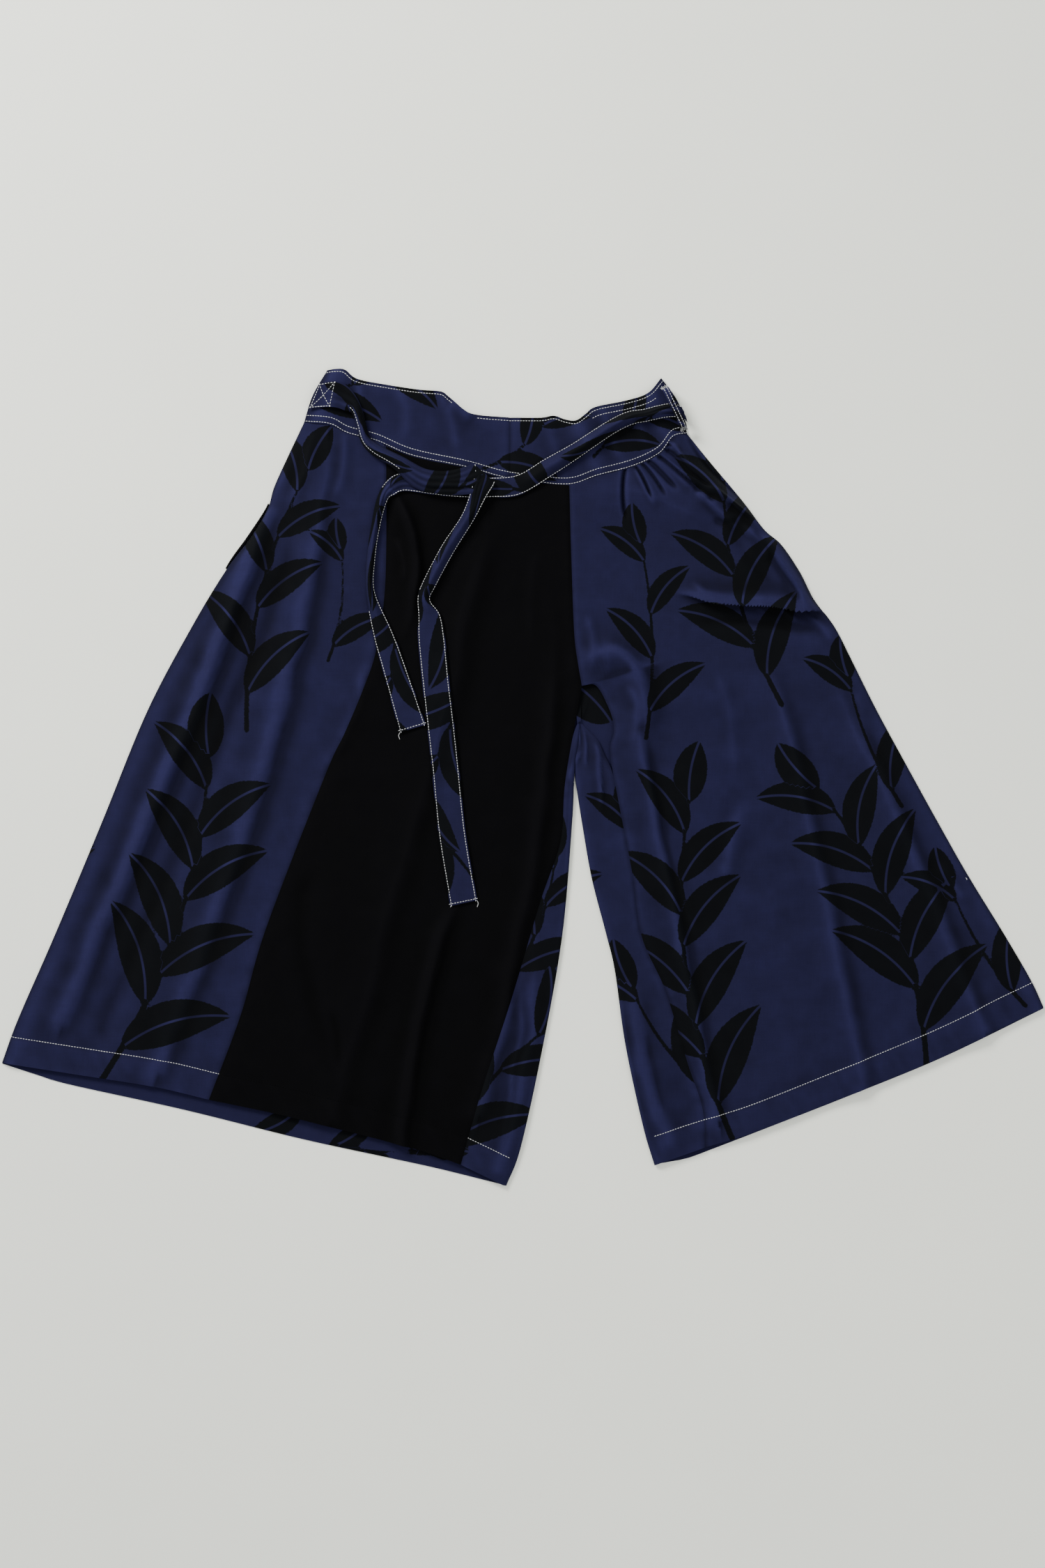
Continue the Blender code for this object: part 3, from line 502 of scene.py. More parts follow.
def lengths_of(line):
    """Distance along a line at each of its points."""
    return np.concatenate([[0.0], np.cumsum(np.linalg.norm(np.diff(line, axis=0), axis=1))])


def along(points, shares):
    """Points at the given shares of a curve's length."""
    dense = curve_through(points)
    lengths = lengths_of(dense)
    wanted = np.asarray(shares) * lengths[-1]
    return np.stack([np.interp(wanted, lengths, dense[:, axis]) for axis in range(dense.shape[1])], axis=1)


def two_part(upper, lower, rows):
    """A curve whose two halves meet at the crotch's share of the height."""
    above = rows <= CROTCH_SHARE
    top = along(upper, rows[above] / CROTCH_SHARE)
    bottom = along(lower, (rows[~above] - CROTCH_SHARE) / (1.0 - CROTCH_SHARE))
    return np.vstack([top, bottom])


def patch(top, bottom, first, last, rows, columns):
    """Grid of (x, y) between four edge curves: rows run down, columns from first to last."""
    v = rows[:, None, None]
    u = columns[None, :, None]
    across = (1 - v) * top[None, :, :] + v * bottom[None, :, :]
    down = (1 - u) * first[:, None, :] + u * last[:, None, :]
    corners = ((1 - v) * ((1 - u) * first[0] + u * last[0]) + v * ((1 - u) * first[-1] + u * last[-1]))
    return across + down - corners


def noise(xy, scale, shift=0.0):
    """Smooth noise between -1 and 1, with features of the given size in millimetres."""
    place = xy / scale + 61.7 + shift
    cell = np.floor(place).astype(int)
    part = smooth(place - cell)
    x0, y0 = cell[..., 0] % 256, cell[..., 1] % 256
    fx, fy = part[..., 0], part[..., 1]
    low = LATTICE[y0, x0] * (1 - fx) + LATTICE[y0, x0 + 1] * fx
    high = LATTICE[y0 + 1, x0] * (1 - fx) + LATTICE[y0 + 1, x0 + 1] * fx
    return 2.0 * (low * (1 - fy) + high * fy) - 1.0


def fold_profile(reach):
    """Height across a fold: a round crest with a long slope. reach is in half widths."""
    return 0.75 * np.exp(-1.3 * reach ** 2) + 0.25 * np.exp(-2.0 * reach)


def fold_relief(xy, folds):
    """Sum of the folds' heights at each point."""
    relief = np.zeros(xy.shape[:-1])
    for fold in folds:
        middle = (2 * fold.xm - (fold.x0 + fold.x1) / 2, 2 * fold.ym - (fold.y0 + fold.y1) / 2)
        t = np.linspace(0.0, 1.0, FOLD_STEPS + 1)[:, None]
        line = ((1 - t) ** 2 * np.array([fold.x0, fold.y0]) + 2 * t * (1 - t) * np.array(middle)
                + t ** 2 * np.array([fold.x1, fold.y1]))
        around = np.ptp(line, axis=0) / 2 + 4 * fold.reach + 40
        near = (np.abs(xy - line.mean(axis=0)) < around).all(axis=-1)
        if not near.any():
            continue
        spots = xy[near]
        best = np.full(len(spots), 1e9)
        share = np.zeros(len(spots))
        width = np.full(len(spots), float(fold.reach))
        for k in range(len(line) - 1):
            run = line[k + 1] - line[k]
            off = spots - line[k]
            part = np.clip((off @ run) / (run @ run), 0.0, 1.0)
            gap = np.linalg.norm(off - part[:, None] * run, axis=1)
            closer = gap < best
            best = np.where(closer, gap, best)
            share = np.where(closer, (k + part) / (len(line) - 1), share)
            on_left = run[0] * off[:, 1] - run[1] * off[:, 0] > 0
            width = np.where(closer, np.where(on_left, fold.steep, 1.0) * fold.reach, width)
        head = fold.head + (1 - fold.head) * smooth(share / FOLD_FADE)
        foot = fold.foot + (1 - fold.foot) * smooth((1 - share) / FOLD_FADE)
        relief[near] += fold.rise * head * foot * fold_profile(best / width)
    return relief


def wandering(xy):
    """Plan positions nudged about, so that creases don't run true."""
    return xy + np.stack([WANDER * noise(xy, WANDER_SIZE, shift) for shift in (3.1, 9.7)], axis=-1)


def crumple(xy):
    """Soft unevenness of cotton that has been worn and laid out."""
    return sum(rise * noise(xy, size, shift) for rise, size, shift in CRUMPLES)


def front_level(xy):
    """Height of the front layer."""
    bent = wandering(xy)
    level = FRONT_REST + fold_relief(bent, MAIN_FOLDS) + fold_relief(bent, FINE_FOLDS) + crumple(xy)
    return FRONT_LOWEST + np.logaddexp(0.0, GROUND_EASE * (level - FRONT_LOWEST)) / GROUND_EASE


def band_level(xy):
    """Height of the front waistband."""
    bent = wandering(xy)
    return (BAND_REST + fold_relief(bent, BAND_FOLDS) + fold_relief(bent, BAND_FINE_FOLDS)
            + 0.4 * noise(xy, 24, 4.0) + 0.15 * noise(xy, 9, 8.0))


def with_edge(level, distance, lowest):
    """Lets a height fall to its lowest value at an edge."""
    share = np.clip(distance / EDGE_ROLL, 0.0, 1.0)
    return lowest + (level - lowest) * np.sqrt(np.maximum(1e-6, 1.0 - (1.0 - share) ** 2))


def distance_down(grid):
    """For each point, the distance along its column to the last row."""
    steps = np.linalg.norm(np.diff(grid[:, :, :2], axis=0), axis=2)
    return np.concatenate([np.cumsum(steps[::-1], axis=0)[::-1], np.zeros((1, grid.shape[1]))])


def seam_dip(distance, xy):
    """Groove and light puckers along a seam."""
    pucker = SEAM_PUCKER * noise(xy, 7, 6.0) * np.exp(-(distance / PUCKER_REACH) ** 2)
    return pucker - SEAM_GROOVE * np.exp(-(distance / SEAM_REACH) ** 2)


def hem_rise(distance, xy):
    """Turned hem: a step up at its stitch line, roping between the line and the edge."""
    turned = smooth((HEM_DEPTH + 1.0 - distance) / 2.0)
    slanted = np.stack([xy[..., 0] + 0.5 * xy[..., 1], 0.25 * xy[..., 1]], axis=-1)
    roping = HEM_ROPING * noise(slanted, 7, 1.9)
    line = -HEM_LINE_DEPTH * np.exp(-((distance - HEM_DEPTH + HEM_STITCH_BACK) / 1.2) ** 2)
    return turned * (HEM_STEP + roping) + line


def lifted(xy, level):
    """Joins plan positions and heights."""
    return np.concatenate([xy, level[..., None]], axis=-1)


def panel_rows():
    """Shares of the height at which the panels have their rows."""
    upper = np.linspace(0.0, CROTCH_SHARE, ROWS_TO_CROTCH + 1)
    lower = np.linspace(CROTCH_SHARE, 1.0, ROWS_TO_HEM + 1)
    return np.concatenate([upper, lower[1:]])


def inner_edges(rows):
    """Inner edges of the left and the right leg: the centre seam, then each inseam."""
    return two_part(CENTRE_SEAM, LEFT_INSEAM, rows), two_part(CENTRE_SEAM, RIGHT_INSEAM, rows)


def gap_to(grid, line):
    """Distance of each point to the point of a line in its row."""
    return np.linalg.norm(grid[:, :, :2] - line[:, None, :], axis=2)


def leaned(plan, tuck, lean):
    """Moves the crest of a fold sideways, so that it hangs over the cloth beside it."""
    share = np.clip(fold_relief(wandering(plan), [tuck]) / tuck.rise, 0.0, 1.0)
    return plan + share[..., None] ** 1.5 * np.array(lean)


def front_grid(edges, columns, outer_side):
    """Grid of a front panel between its waist, hem and two long edges."""
    waist, hem, first, last = edges
    rows = panel_rows()
    shares = np.linspace(0.0, 1.0, columns + 1)
    plan = patch(along(waist, shares), along(hem, shares), first, last, rows, shares)
    level = front_level(plan)
    first_gap, last_gap = gap_to(plan, first), gap_to(plan, last)
    if outer_side != "first":
        level = level + seam_dip(first_gap, plan)
    if outer_side != "last":
        level = level + seam_dip(last_gap, plan)
    level = level + hem_rise(distance_down(plan), plan)
    if outer_side == "last":
        plan = leaned(plan, HIP_TUCK, HIP_LEAN)
    if outer_side is not None:
        level = with_edge(level, first_gap if outer_side == "first" else last_gap, SIDE_SEAM_LEVEL)
    return lifted(plan, level)


def push_out(points, edge, inward, held):
    """Moves a rolled stretch inwards until its bulge reaches the fold line. held says how far
    its end stays where it is."""
    past = (points[:, :2] - edge) @ inward
    peak, last = int(past.argmax()), len(points) - 1
    keys = ([0, peak, last], [0.5, 1.0, 1.0 - held]) if peak < last else ([0, last], [0.5, 1.0])
    points[:, :2] -= past[peak] * np.interp(np.arange(last + 1), *keys)[:, None] * inward


def back_grid(waist, hem, side, inseam, fold, rise_share):
    """Grid of a back panel: flat on the surface, rolled round the inner fold, up to the inseam."""
    rows = panel_rows()
    centre = two_part(CENTRE_SEAM, fold, rows)
    shares = np.linspace(0.0, 1.0, FLOOR_COLUMNS + 1)
    floor = patch(along(waist, shares), along(hem, shares), side, centre, rows, shares)
    inward = centre - side
    inward = inward / np.linalg.norm(inward, axis=1)[:, None]
    strip = np.linalg.norm(centre - inseam, axis=1)
    reach = np.minimum(FOLD_REACH, TIGHTEST_ROLL + 0.5 * strip)
    roll_from = centre - inward * reach[:, None]
    risen = smooth((rows - CROTCH_SHARE) / (rise_share - CROTCH_SHARE))
    columns = []
    for j, share in enumerate(shares[:-1]):
        straight = side + (centre - side) * share
        spot = side + (roll_from - inward - side) * share + floor[:, j] - straight
        columns.append(lifted(spot, np.full(len(rows), FLOOR_LEVEL)))
    top = front_level(roll_from)
    radius = (top - FLOOR_LEVEL) / 2
    turned = [lifted(roll_from, np.full(len(rows), FLOOR_LEVEL))]
    for step in range(1, ROLL_COLUMNS):
        turn = math.pi * step / ROLL_COLUMNS
        out = roll_from + inward * (reach * math.sin(turn))[:, None]
        turned.append(lifted(out, FLOOR_LEVEL + radius * (1 - math.cos(turn))))
    for share in np.linspace(0.0, 1.0, STRIP_COLUMNS + 1):
        spot = roll_from + (inseam - roll_from) * share
        gap = np.linalg.norm(spot - inseam, axis=1)
        turned.append(lifted(spot, front_level(spot) + seam_dip(gap, spot) * smooth(strip / 12.0)))
    flat_from = centre - inward * LYING_STRIP
    for step, line in enumerate(turned):
        flat = lifted(flat_from + (centre - flat_from) * step / (len(turned) - 1),
                      np.full(len(rows), FLOOR_LEVEL))
        columns.append(line * risen[:, None] + flat * (1 - risen[:, None]))
    grid = np.stack(columns, axis=1)
    for i in range(len(rows)):
        push_out(grid[i, FLOOR_COLUMNS:], centre[i], inward[i], risen[i])
    over = grid[:, FLOOR_COLUMNS + ROLL_COLUMNS:, :]
    over[:, :, 2] += hem_rise(distance_down(over), over[:, :, :2])
    return grid


def band_grid(top, seam, first, last, columns, open_ends):
    """Grid of a piece of the waistband between its top edge and the waist seam."""
    rows = np.linspace(0.0, 1.0, BAND_ROWS + 1)
    shares = np.linspace(0.0, 1.0, columns + 1)
    left, right = along(first, rows), along(last, rows)
    plan = patch(along(top, shares), along(seam, shares), left, right, rows, shares)
    level = band_level(plan) + seam_dip(distance_down(plan), plan) * BAND_GROOVE_SHARE
    to_top = distance_down(plan[::-1])[::-1]
    level = (level - BAND_TOP_DROP * np.exp(-(to_top / BAND_TOP_REACH) ** 2)
             - BAND_LINE_DEPTH * np.exp(-(to_top - TOP_STITCH_INSET) ** 2))
    for side, line in (("left", left), ("right", right)):
        gap = gap_to(plan, line)
        level = with_edge(level, gap, BAND_SEAM_LEVEL) if side in open_ends else level + seam_dip(gap, plan)
    return lifted(plan, level)


def surface_under(xy):
    """Top of whatever a tie lies on: the waistband or a front panel."""
    seam = np.vstack([curve_through(BAND_SEAM_LEFT), curve_through(BAND_SEAM_RIGHT)])
    order = np.argsort(seam[:, 0])
    seam_y = np.interp(xy[..., 0], seam[order, 0], seam[order, 1])
    on_band = smooth((xy[..., 1] - seam_y) / WAIST_BLEND + 0.5)
    band_top = BAND_REST + fold_relief(xy, BAND_FOLDS) + BAND_THICKNESS
    panel_top = FRONT_REST + fold_relief(xy, MAIN_FOLDS) + PANEL_THICKNESS
    return panel_top + (band_top - panel_top) * on_band


def tie_grid(stations):
    """Grid of a tie that lies on what is under it."""
    keys = np.array(stations)
    middle = (keys[:, 0:2] + keys[:, 2:4]) / 2
    length = lengths_of(middle)[-1]
    path = along(keys, np.linspace(0.0, 1.0, int(length / TIE_STEP) + 1))
    across = np.linspace(0.0, 1.0, TIE_COLUMNS + 1)
    grid = np.zeros((len(path), TIE_COLUMNS + 1, 3))
    for j, share in enumerate(across):
        plan = path[:, 0:2] * (1 - share) + path[:, 2:4] * share
        hump = 1.0 - abs(2 * share - 1) ** TIE_ROUNDNESS
        grid[:, j, :2] = plan
        gathers = sum(gather.height * np.exp(-(np.hypot(plan[:, 0] - gather.x, plan[:, 1] - gather.y)
                                                / gather.reach) ** 2)
                      * np.sin(2 * math.pi * gather.waves * (share + GATHER_WAVER * noise(plan, 22, 2.7)))
                      for gather in GATHERS)
        grid[:, j, 2] = (surface_under(plan) + TIE_LIFT + path[:, 4] + path[:, 5] * hump
                         + TIE_CRUMPLE * noise(plan, 12, 4.4) * (1 - abs(2 * share - 1) * 0.5)
                         + gathers * smooth(4 * share) * smooth(4 * (1 - share)))
    return grid


def loop_grid():
    """Grid of the belt loop over the right tie."""
    top, foot = np.array(LOOP_TOP, dtype=float), np.array(LOOP_FOOT, dtype=float)
    run = (foot - top) / np.linalg.norm(foot - top)
    side = np.array([-run[1], run[0]])
    grid = np.zeros((LOOP_ROWS + 1, LOOP_COLUMNS + 1, 3))
    for i in range(LOOP_ROWS + 1):
        share = i / LOOP_ROWS
        for j in range(LOOP_COLUMNS + 1):
            plan = top + (foot - top) * share + side * LOOP_WIDTH * (j / LOOP_COLUMNS - 0.5)
            hump = smooth(math.sin(math.pi * share) * LOOP_STEEPNESS)
            edge = 0.25 * (1 - (2 * j / LOOP_COLUMNS - 1) ** 4)
            grid[i, j, :2] = plan
            grid[i, j, 2] = surface_under(plan) + LOOP_LIFT + LOOP_ARCH * hump + edge
    return grid


def pocket_grid():
    """Grid of the facing's edge that shows beside the left pocket opening."""
    line = along(LEFT_SIDE_EDGE, np.linspace(POCKET_FROM, POCKET_TO, POCKET_ROWS + 1))
    run = np.gradient(line, axis=0)
    out = np.stack([run[:, 1], -run[:, 0]], axis=1) / np.linalg.norm(run, axis=1)[:, None]
    bulge = np.sin(np.linspace(0.15, 0.85, len(line)) * math.pi)
    grid = np.zeros((len(line), POCKET_COLUMNS + 1, 3))
    for j in range(POCKET_COLUMNS + 1):
        grid[:, j, :2] = line + out * (POCKET_CLEAR + POCKET_SHOWN * bulge * j / POCKET_COLUMNS)[:, None]
        grid[:, j, 2] = POCKET_LEVEL + POCKET_RISE * math.sin(math.pi * j / POCKET_COLUMNS)
    return grid


def bent_line(start, angle, length, bend):
    """Points of a bent stroke."""
    direction = np.array([math.cos(angle), math.sin(angle)])
    side = np.array([-direction[1], direction[0]])
    t = np.linspace(0.0, 1.0, STROKE_POINTS)[:, None]
    return np.array(start) + direction * length * t + side * bend * 4 * t * (1 - t)


def leaf_widths(width):
    """Half widths along a pointed leaf."""
    t = np.linspace(0.0, 1.0, STROKE_POINTS)
    return np.maximum(width * np.sin(math.pi * t ** 0.85) ** 0.9, THINNEST_LEAF)


def stroke(xy, line, half_width):
    """Signed distance to a stroke of changing width, and signed distance to its middle line."""
    best = np.full(len(xy), 1e9)
    middle = np.full(len(xy), 1e9)
    for k in range(len(line) - 1):
        run = line[k + 1] - line[k]
        off = xy - line[k]
        part = np.clip((off @ run) / (run @ run), 0.0, 1.0)
        gap = np.linalg.norm(off - part[:, None] * run, axis=1)
        width = half_width[k] + (half_width[k + 1] - half_width[k]) * part
        side = np.sign(run[0] * off[:, 1] - run[1] * off[:, 0])
        closer = gap < np.abs(middle)
        middle = np.where(closer, gap * side, middle)
        best = np.minimum(best, gap - width)
    return best, middle


def print_and_shade_fields(xy, sprigs):
    """Distances to the printed leaves and stems, and to the nearest leaf's vein."""
    flat = xy.reshape(-1, 2)
    print_and_shade_ink = np.full(len(flat), NO_VEIN)
    vein = np.full(len(flat), NO_VEIN)

    def add(line, widths, with_vein):
        reach = widths.max() + 12.0
        near = ((flat > line.min(axis=0) - reach) & (flat < line.max(axis=0) + reach)).all(axis=1)
        if near.any():
            shape, middle = stroke(flat[near], line, widths)
            vein[near] = np.where(shape < print_and_shade_ink[near], middle if with_vein else NO_VEIN, vein[near])
            print_and_shade_ink[near] = np.minimum(print_and_shade_ink[near], shape)

    for sprig in sprigs:
        stem = bent_line((sprig.x, sprig.y), math.radians(sprig.angle), sprig.stem, sprig.bend)
        add(stem, np.linspace(*STEM_WIDTHS, STROKE_POINTS) * sprig.width, False)
        last = STROKE_POINTS - 1
        for leaf in range(2 * sprig.pairs):
            place = FIRST_LEAF + LEAF_RUN * leaf / max(1, 2 * sprig.pairs - 1)
            side = 1 if leaf % 2 else -1
            k = int(place * last)
            run = stem[min(k + 1, last)] - stem[max(k - 1, 0)]
            heading = math.atan2(run[1], run[0]) + side * LEAF_ANGLE
            size = sprig.leaf * (1.05 - 0.35 * place)
            width = 0.5 * sprig.width * (1.05 - 0.3 * place)
            add(bent_line(stem[k], heading, size, -side * size * 0.10), leaf_widths(width), True)
        run = stem[-1] - stem[-2]
        tip = TIP_LENGTH * sprig.leaf
        line = bent_line(stem[-1] - run, math.atan2(run[1], run[0]), tip, 0.06 * tip)
        add(line, leaf_widths(TIP_WIDTH * sprig.width), True)
    return print_and_shade_ink.reshape(xy.shape[:-1]), vein.reshape(xy.shape[:-1])


def unit_normals(grid):
    """Normals of a grid of points, upwards on its last column."""
    across = np.gradient(grid, axis=1)
    down = np.gradient(grid, axis=0)
    normal = np.cross(down, across)
    normal = normal / np.maximum(np.linalg.norm(normal, axis=2), 1e-9)[:, :, None]
    return normal if normal[:, -1, 2].mean() > 0 else -normal


def painted_shade_of(grid):
    """How far each point of a grid lies under the cloth round it, from -1 to 1."""
    level = grid[:, :, 2]
    for axis in (0, 1):
        for reach in (1, 2, 3):
            ends = [(0, 0), (0, 0)]
            ends[axis] = (reach, reach)
            wide = np.pad(level, ends, mode="edge")
            size = level.shape[axis]
            before = np.take(wide, range(size), axis)
            after = np.take(wide, range(2 * reach, size + 2 * reach), axis)
            level = (before + after + level) / 3
    return np.clip((level - grid[:, :, 2]) / PAINTED_SHADE_DEPTH, -1.0, 1.0)


def placed(name, data):
    """A new object in the scene."""
    thing = bpy.data.objects.new(name, data)
    bpy.context.collection.objects.link(thing)
    return thing


def shell(name, grid, thickness, material, fields, middle):
    """One closed thin sheet of cloth, in millimetres. The grid is its upper face, or a layer the
    given share of the thickness below that."""
    rows, columns = grid.shape[:2]
    normals = unit_normals(grid)
    over = ((grid + normals * thickness * middle - ORIGIN) * MM).reshape(-1, 3)
    under = ((grid - normals * thickness * (1 - middle) - ORIGIN) * MM).reshape(-1, 3)
    under[:, 2] = np.maximum(under[:, 2], LOWEST)
    index = np.arange(rows * columns).reshape(rows, columns)
    top = np.stack([index[:-1, :-1], index[1:, :-1], index[1:, 1:], index[:-1, 1:]], axis=-1).reshape(-1, 4)
    low = top[:, ::-1] + rows * columns
    rim = np.concatenate([index[0, :], index[1:, -1], index[-1, -2::-1], index[-2:0:-1, 0]])
    after = np.roll(rim, -1)
    walls = np.stack([rim, after, after + rows * columns, rim + rows * columns], axis=-1)
    data = bpy.data.meshes.new(name)
    data.from_pydata(np.vstack([over, under]).tolist(), [], np.vstack([top, low, walls]).tolist())
    # Each piece also gets a value for painted shade in its dips and painted highlight on its crests
    for field, values in dict(fields, painted_shade=painted_shade_of(grid)).items():
        attribute = data.attributes.new(field, "FLOAT", "POINT")
        attribute.data.foreach_set("value", np.tile(values.ravel(), 2).astype(np.float32))
    mesh = bmesh.new()
    mesh.from_mesh(data)
    bmesh.ops.recalc_face_normals(mesh, faces=mesh.faces)
    mesh.to_mesh(data)
    mesh.free()
    data.shade_smooth()
    data.set_sharp_from_angle(angle=SHARP_ANGLE)
    data.materials.append(material)
    upward = normals * np.where(normals[:, :, 2:] < 0, -1.0, 1.0)
    made[name] = {"grid": grid, "normals": upward, "proud": thickness * middle}
    return placed(name, data)


def lay(name, node, grid, thickness, sprigs, cloth=None, middle=0.0):
    """Makes a piece of cloth and says what it stands for and how it was cut. sprigs is None for
    the plain black cotton. cloth gives places on the cut cloth where the plan doesn't."""
    material, fields = made["black_cotton"], {}
    if sprigs is not None:
        print_and_shade_ink, vein = print_and_shade_fields(grid[:, :, :2] if cloth is None else cloth, sprigs)
        material, fields = made["printed_cotton"], {"print_and_shade_ink": print_and_shade_ink, "vein": vein}
    piece = shell(name, grid, thickness, material, fields, middle)
    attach(piece, BODY)
    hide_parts(node)


def add_node(tree, kind, inputs=None, **settings):
    """A node with its settings, and its inputs linked to sockets or given values."""
    node = tree.nodes.new(kind)
    for setting, value in settings.items():
        setattr(node, setting, value)
    for key, value in (inputs or {}).items():
        if isinstance(value, bpy.types.NodeSocket):
            tree.links.new(value, node.inputs[key])
        else:
            node.inputs[key].default_value = value
    return node


def new_tree(name, kind, inputs, outputs):
    """A node group with named sockets. Inputs are (name, socket type, default)."""
    tree = bpy.data.node_groups.new(name, kind)
    for label, socket, value in inputs:
        item = tree.interface.new_socket(label, in_out="INPUT", socket_type=socket)
        if value is not None:
            item.default_value = value
    for label, socket in outputs:
        tree.interface.new_socket(label, in_out="OUTPUT", socket_type=socket)
    return tree, tree.nodes.new("NodeGroupInput"), tree.nodes.new("NodeGroupOutput")


def maths(tree, operation, *values):
    """The result of a Math node whose inputs are sockets or numbers."""
    return add_node(tree, "ShaderNodeMath", dict(enumerate(values)), operation=operation).outputs[0]


def noise_node(tree, place, scale, detail, roughness=0.55):
    """A noise texture's value."""
    return add_node(tree, "ShaderNodeTexNoise", {"Vector": place, "Scale": scale, "Detail": detail,
                                                 "Roughness": roughness}).outputs[0]


def mixed(tree, factor, first, second, blend="MIX"):
    """Colour between two colours or sockets."""
    colours = [value if isinstance(value, bpy.types.NodeSocket) else (*tuple(value)[:3], 1.0)
               for value in (first, second)]
    return add_node(tree, "ShaderNodeMix", {"Factor": factor, 6: colours[0], 7: colours[1]},
                    data_type="RGBA", blend_type=blend).outputs[2]


def ranged(tree, value, low, high, start, end):
    """A value taken from one range to another, clamped."""
    return add_node(tree, "ShaderNodeMapRange", {"Value": value, "From Min": low, "From Max": high,
                                                 "To Min": start, "To Max": end}).outputs[0]


def weave_group():
    """Plain weave with uneven yarns. Position is in metres."""
    tree, given, out = new_tree("Plain weave", "ShaderNodeTree",
                                [("Position", "NodeSocketVector", None),
                                 ("Yarn Pitch", "NodeSocketFloat", YARN_PITCH),
                                 ("Slub", "NodeSocketFloat", 0.35)],
                                [("Height", "NodeSocketFloat"), ("Shade", "NodeSocketFloat")])
    place = given.outputs["Position"]
    split = add_node(tree, "ShaderNodeSeparateXYZ", {0: place})
    waves = []
    for axis in (0, 1):
        yarns = maths(tree, "DIVIDE", split.outputs[axis], given.outputs["Yarn Pitch"])
        waves.append(maths(tree, "SINE", maths(tree, "MULTIPLY", yarns, math.pi)))
    cross = maths(tree, "MULTIPLY", *waves)
    slubs = []
    for stretch in SLUB_STRETCHES:
        scaled = add_node(tree, "ShaderNodeVectorMath", {0: place, 1: stretch}, operation="MULTIPLY")
        slubs.append(noise_node(tree, scaled.outputs[0], 1.0, 2.0))
    uneven = maths(tree, "MULTIPLY", maths(tree, "ADD", *slubs), given.outputs["Slub"])
    tree.links.new(maths(tree, "ADD", maths(tree, "MULTIPLY", cross, 0.5), uneven), out.inputs["Height"])
    tree.links.new(uneven, out.inputs["Shade"])
    return tree


def wear_group():
    """Soft creasing and slight unevenness of a dyed cloth. Position is in metres."""
    tree, given, out = new_tree("Laundered cloth", "ShaderNodeTree",
                                [("Position", "NodeSocketVector", None)],
                                [("Crease", "NodeSocketFloat"), ("Fade", "NodeSocketFloat")])
    place = given.outputs["Position"]
    broad = noise_node(tree, place, FADE_SCALES[0], 3.0)
    fine = noise_node(tree, place, FADE_SCALES[1], 4.0, 0.6)
    halves = [maths(tree, "MULTIPLY", value, 0.5) for value in (broad, fine)]
    tree.links.new(maths(tree, "ADD", *halves), out.inputs["Fade"])
    centred = maths(tree, "SUBTRACT", noise_node(tree, place, CREASE_SCALE, 3.0), 0.5)
    ridges = maths(tree, "ABSOLUTE", centred)
    tree.links.new(maths(tree, "SUBTRACT", 1.0, maths(tree, "MULTIPLY", ridges, 4.0)), out.inputs["Crease"])
    return tree


def new_material(name):
    """A material with its tree, its shader and its Object coordinates."""
    material = bpy.data.materials.new(name)
    material.use_nodes = True
    tree = material.node_tree
    place = tree.nodes.new("ShaderNodeTexCoord").outputs["Object"]
    return material, tree, tree.nodes["Principled BSDF"], place


def finish_surface(tree, shader, colour, roughness, gloss, relief, strength, depth):
    """Joins colour, roughness and relief to a material's shader."""
    tree.links.new(colour, shader.inputs["Base Color"])
    tree.links.new(roughness, shader.inputs["Roughness"])
    shader.inputs["Specular IOR Level"].default_value = gloss
    bump = add_node(tree, "ShaderNodeBump", {"Strength": strength, "Distance": depth, "Height": relief})
    tree.links.new(bump.outputs["Normal"], shader.inputs["Normal"])


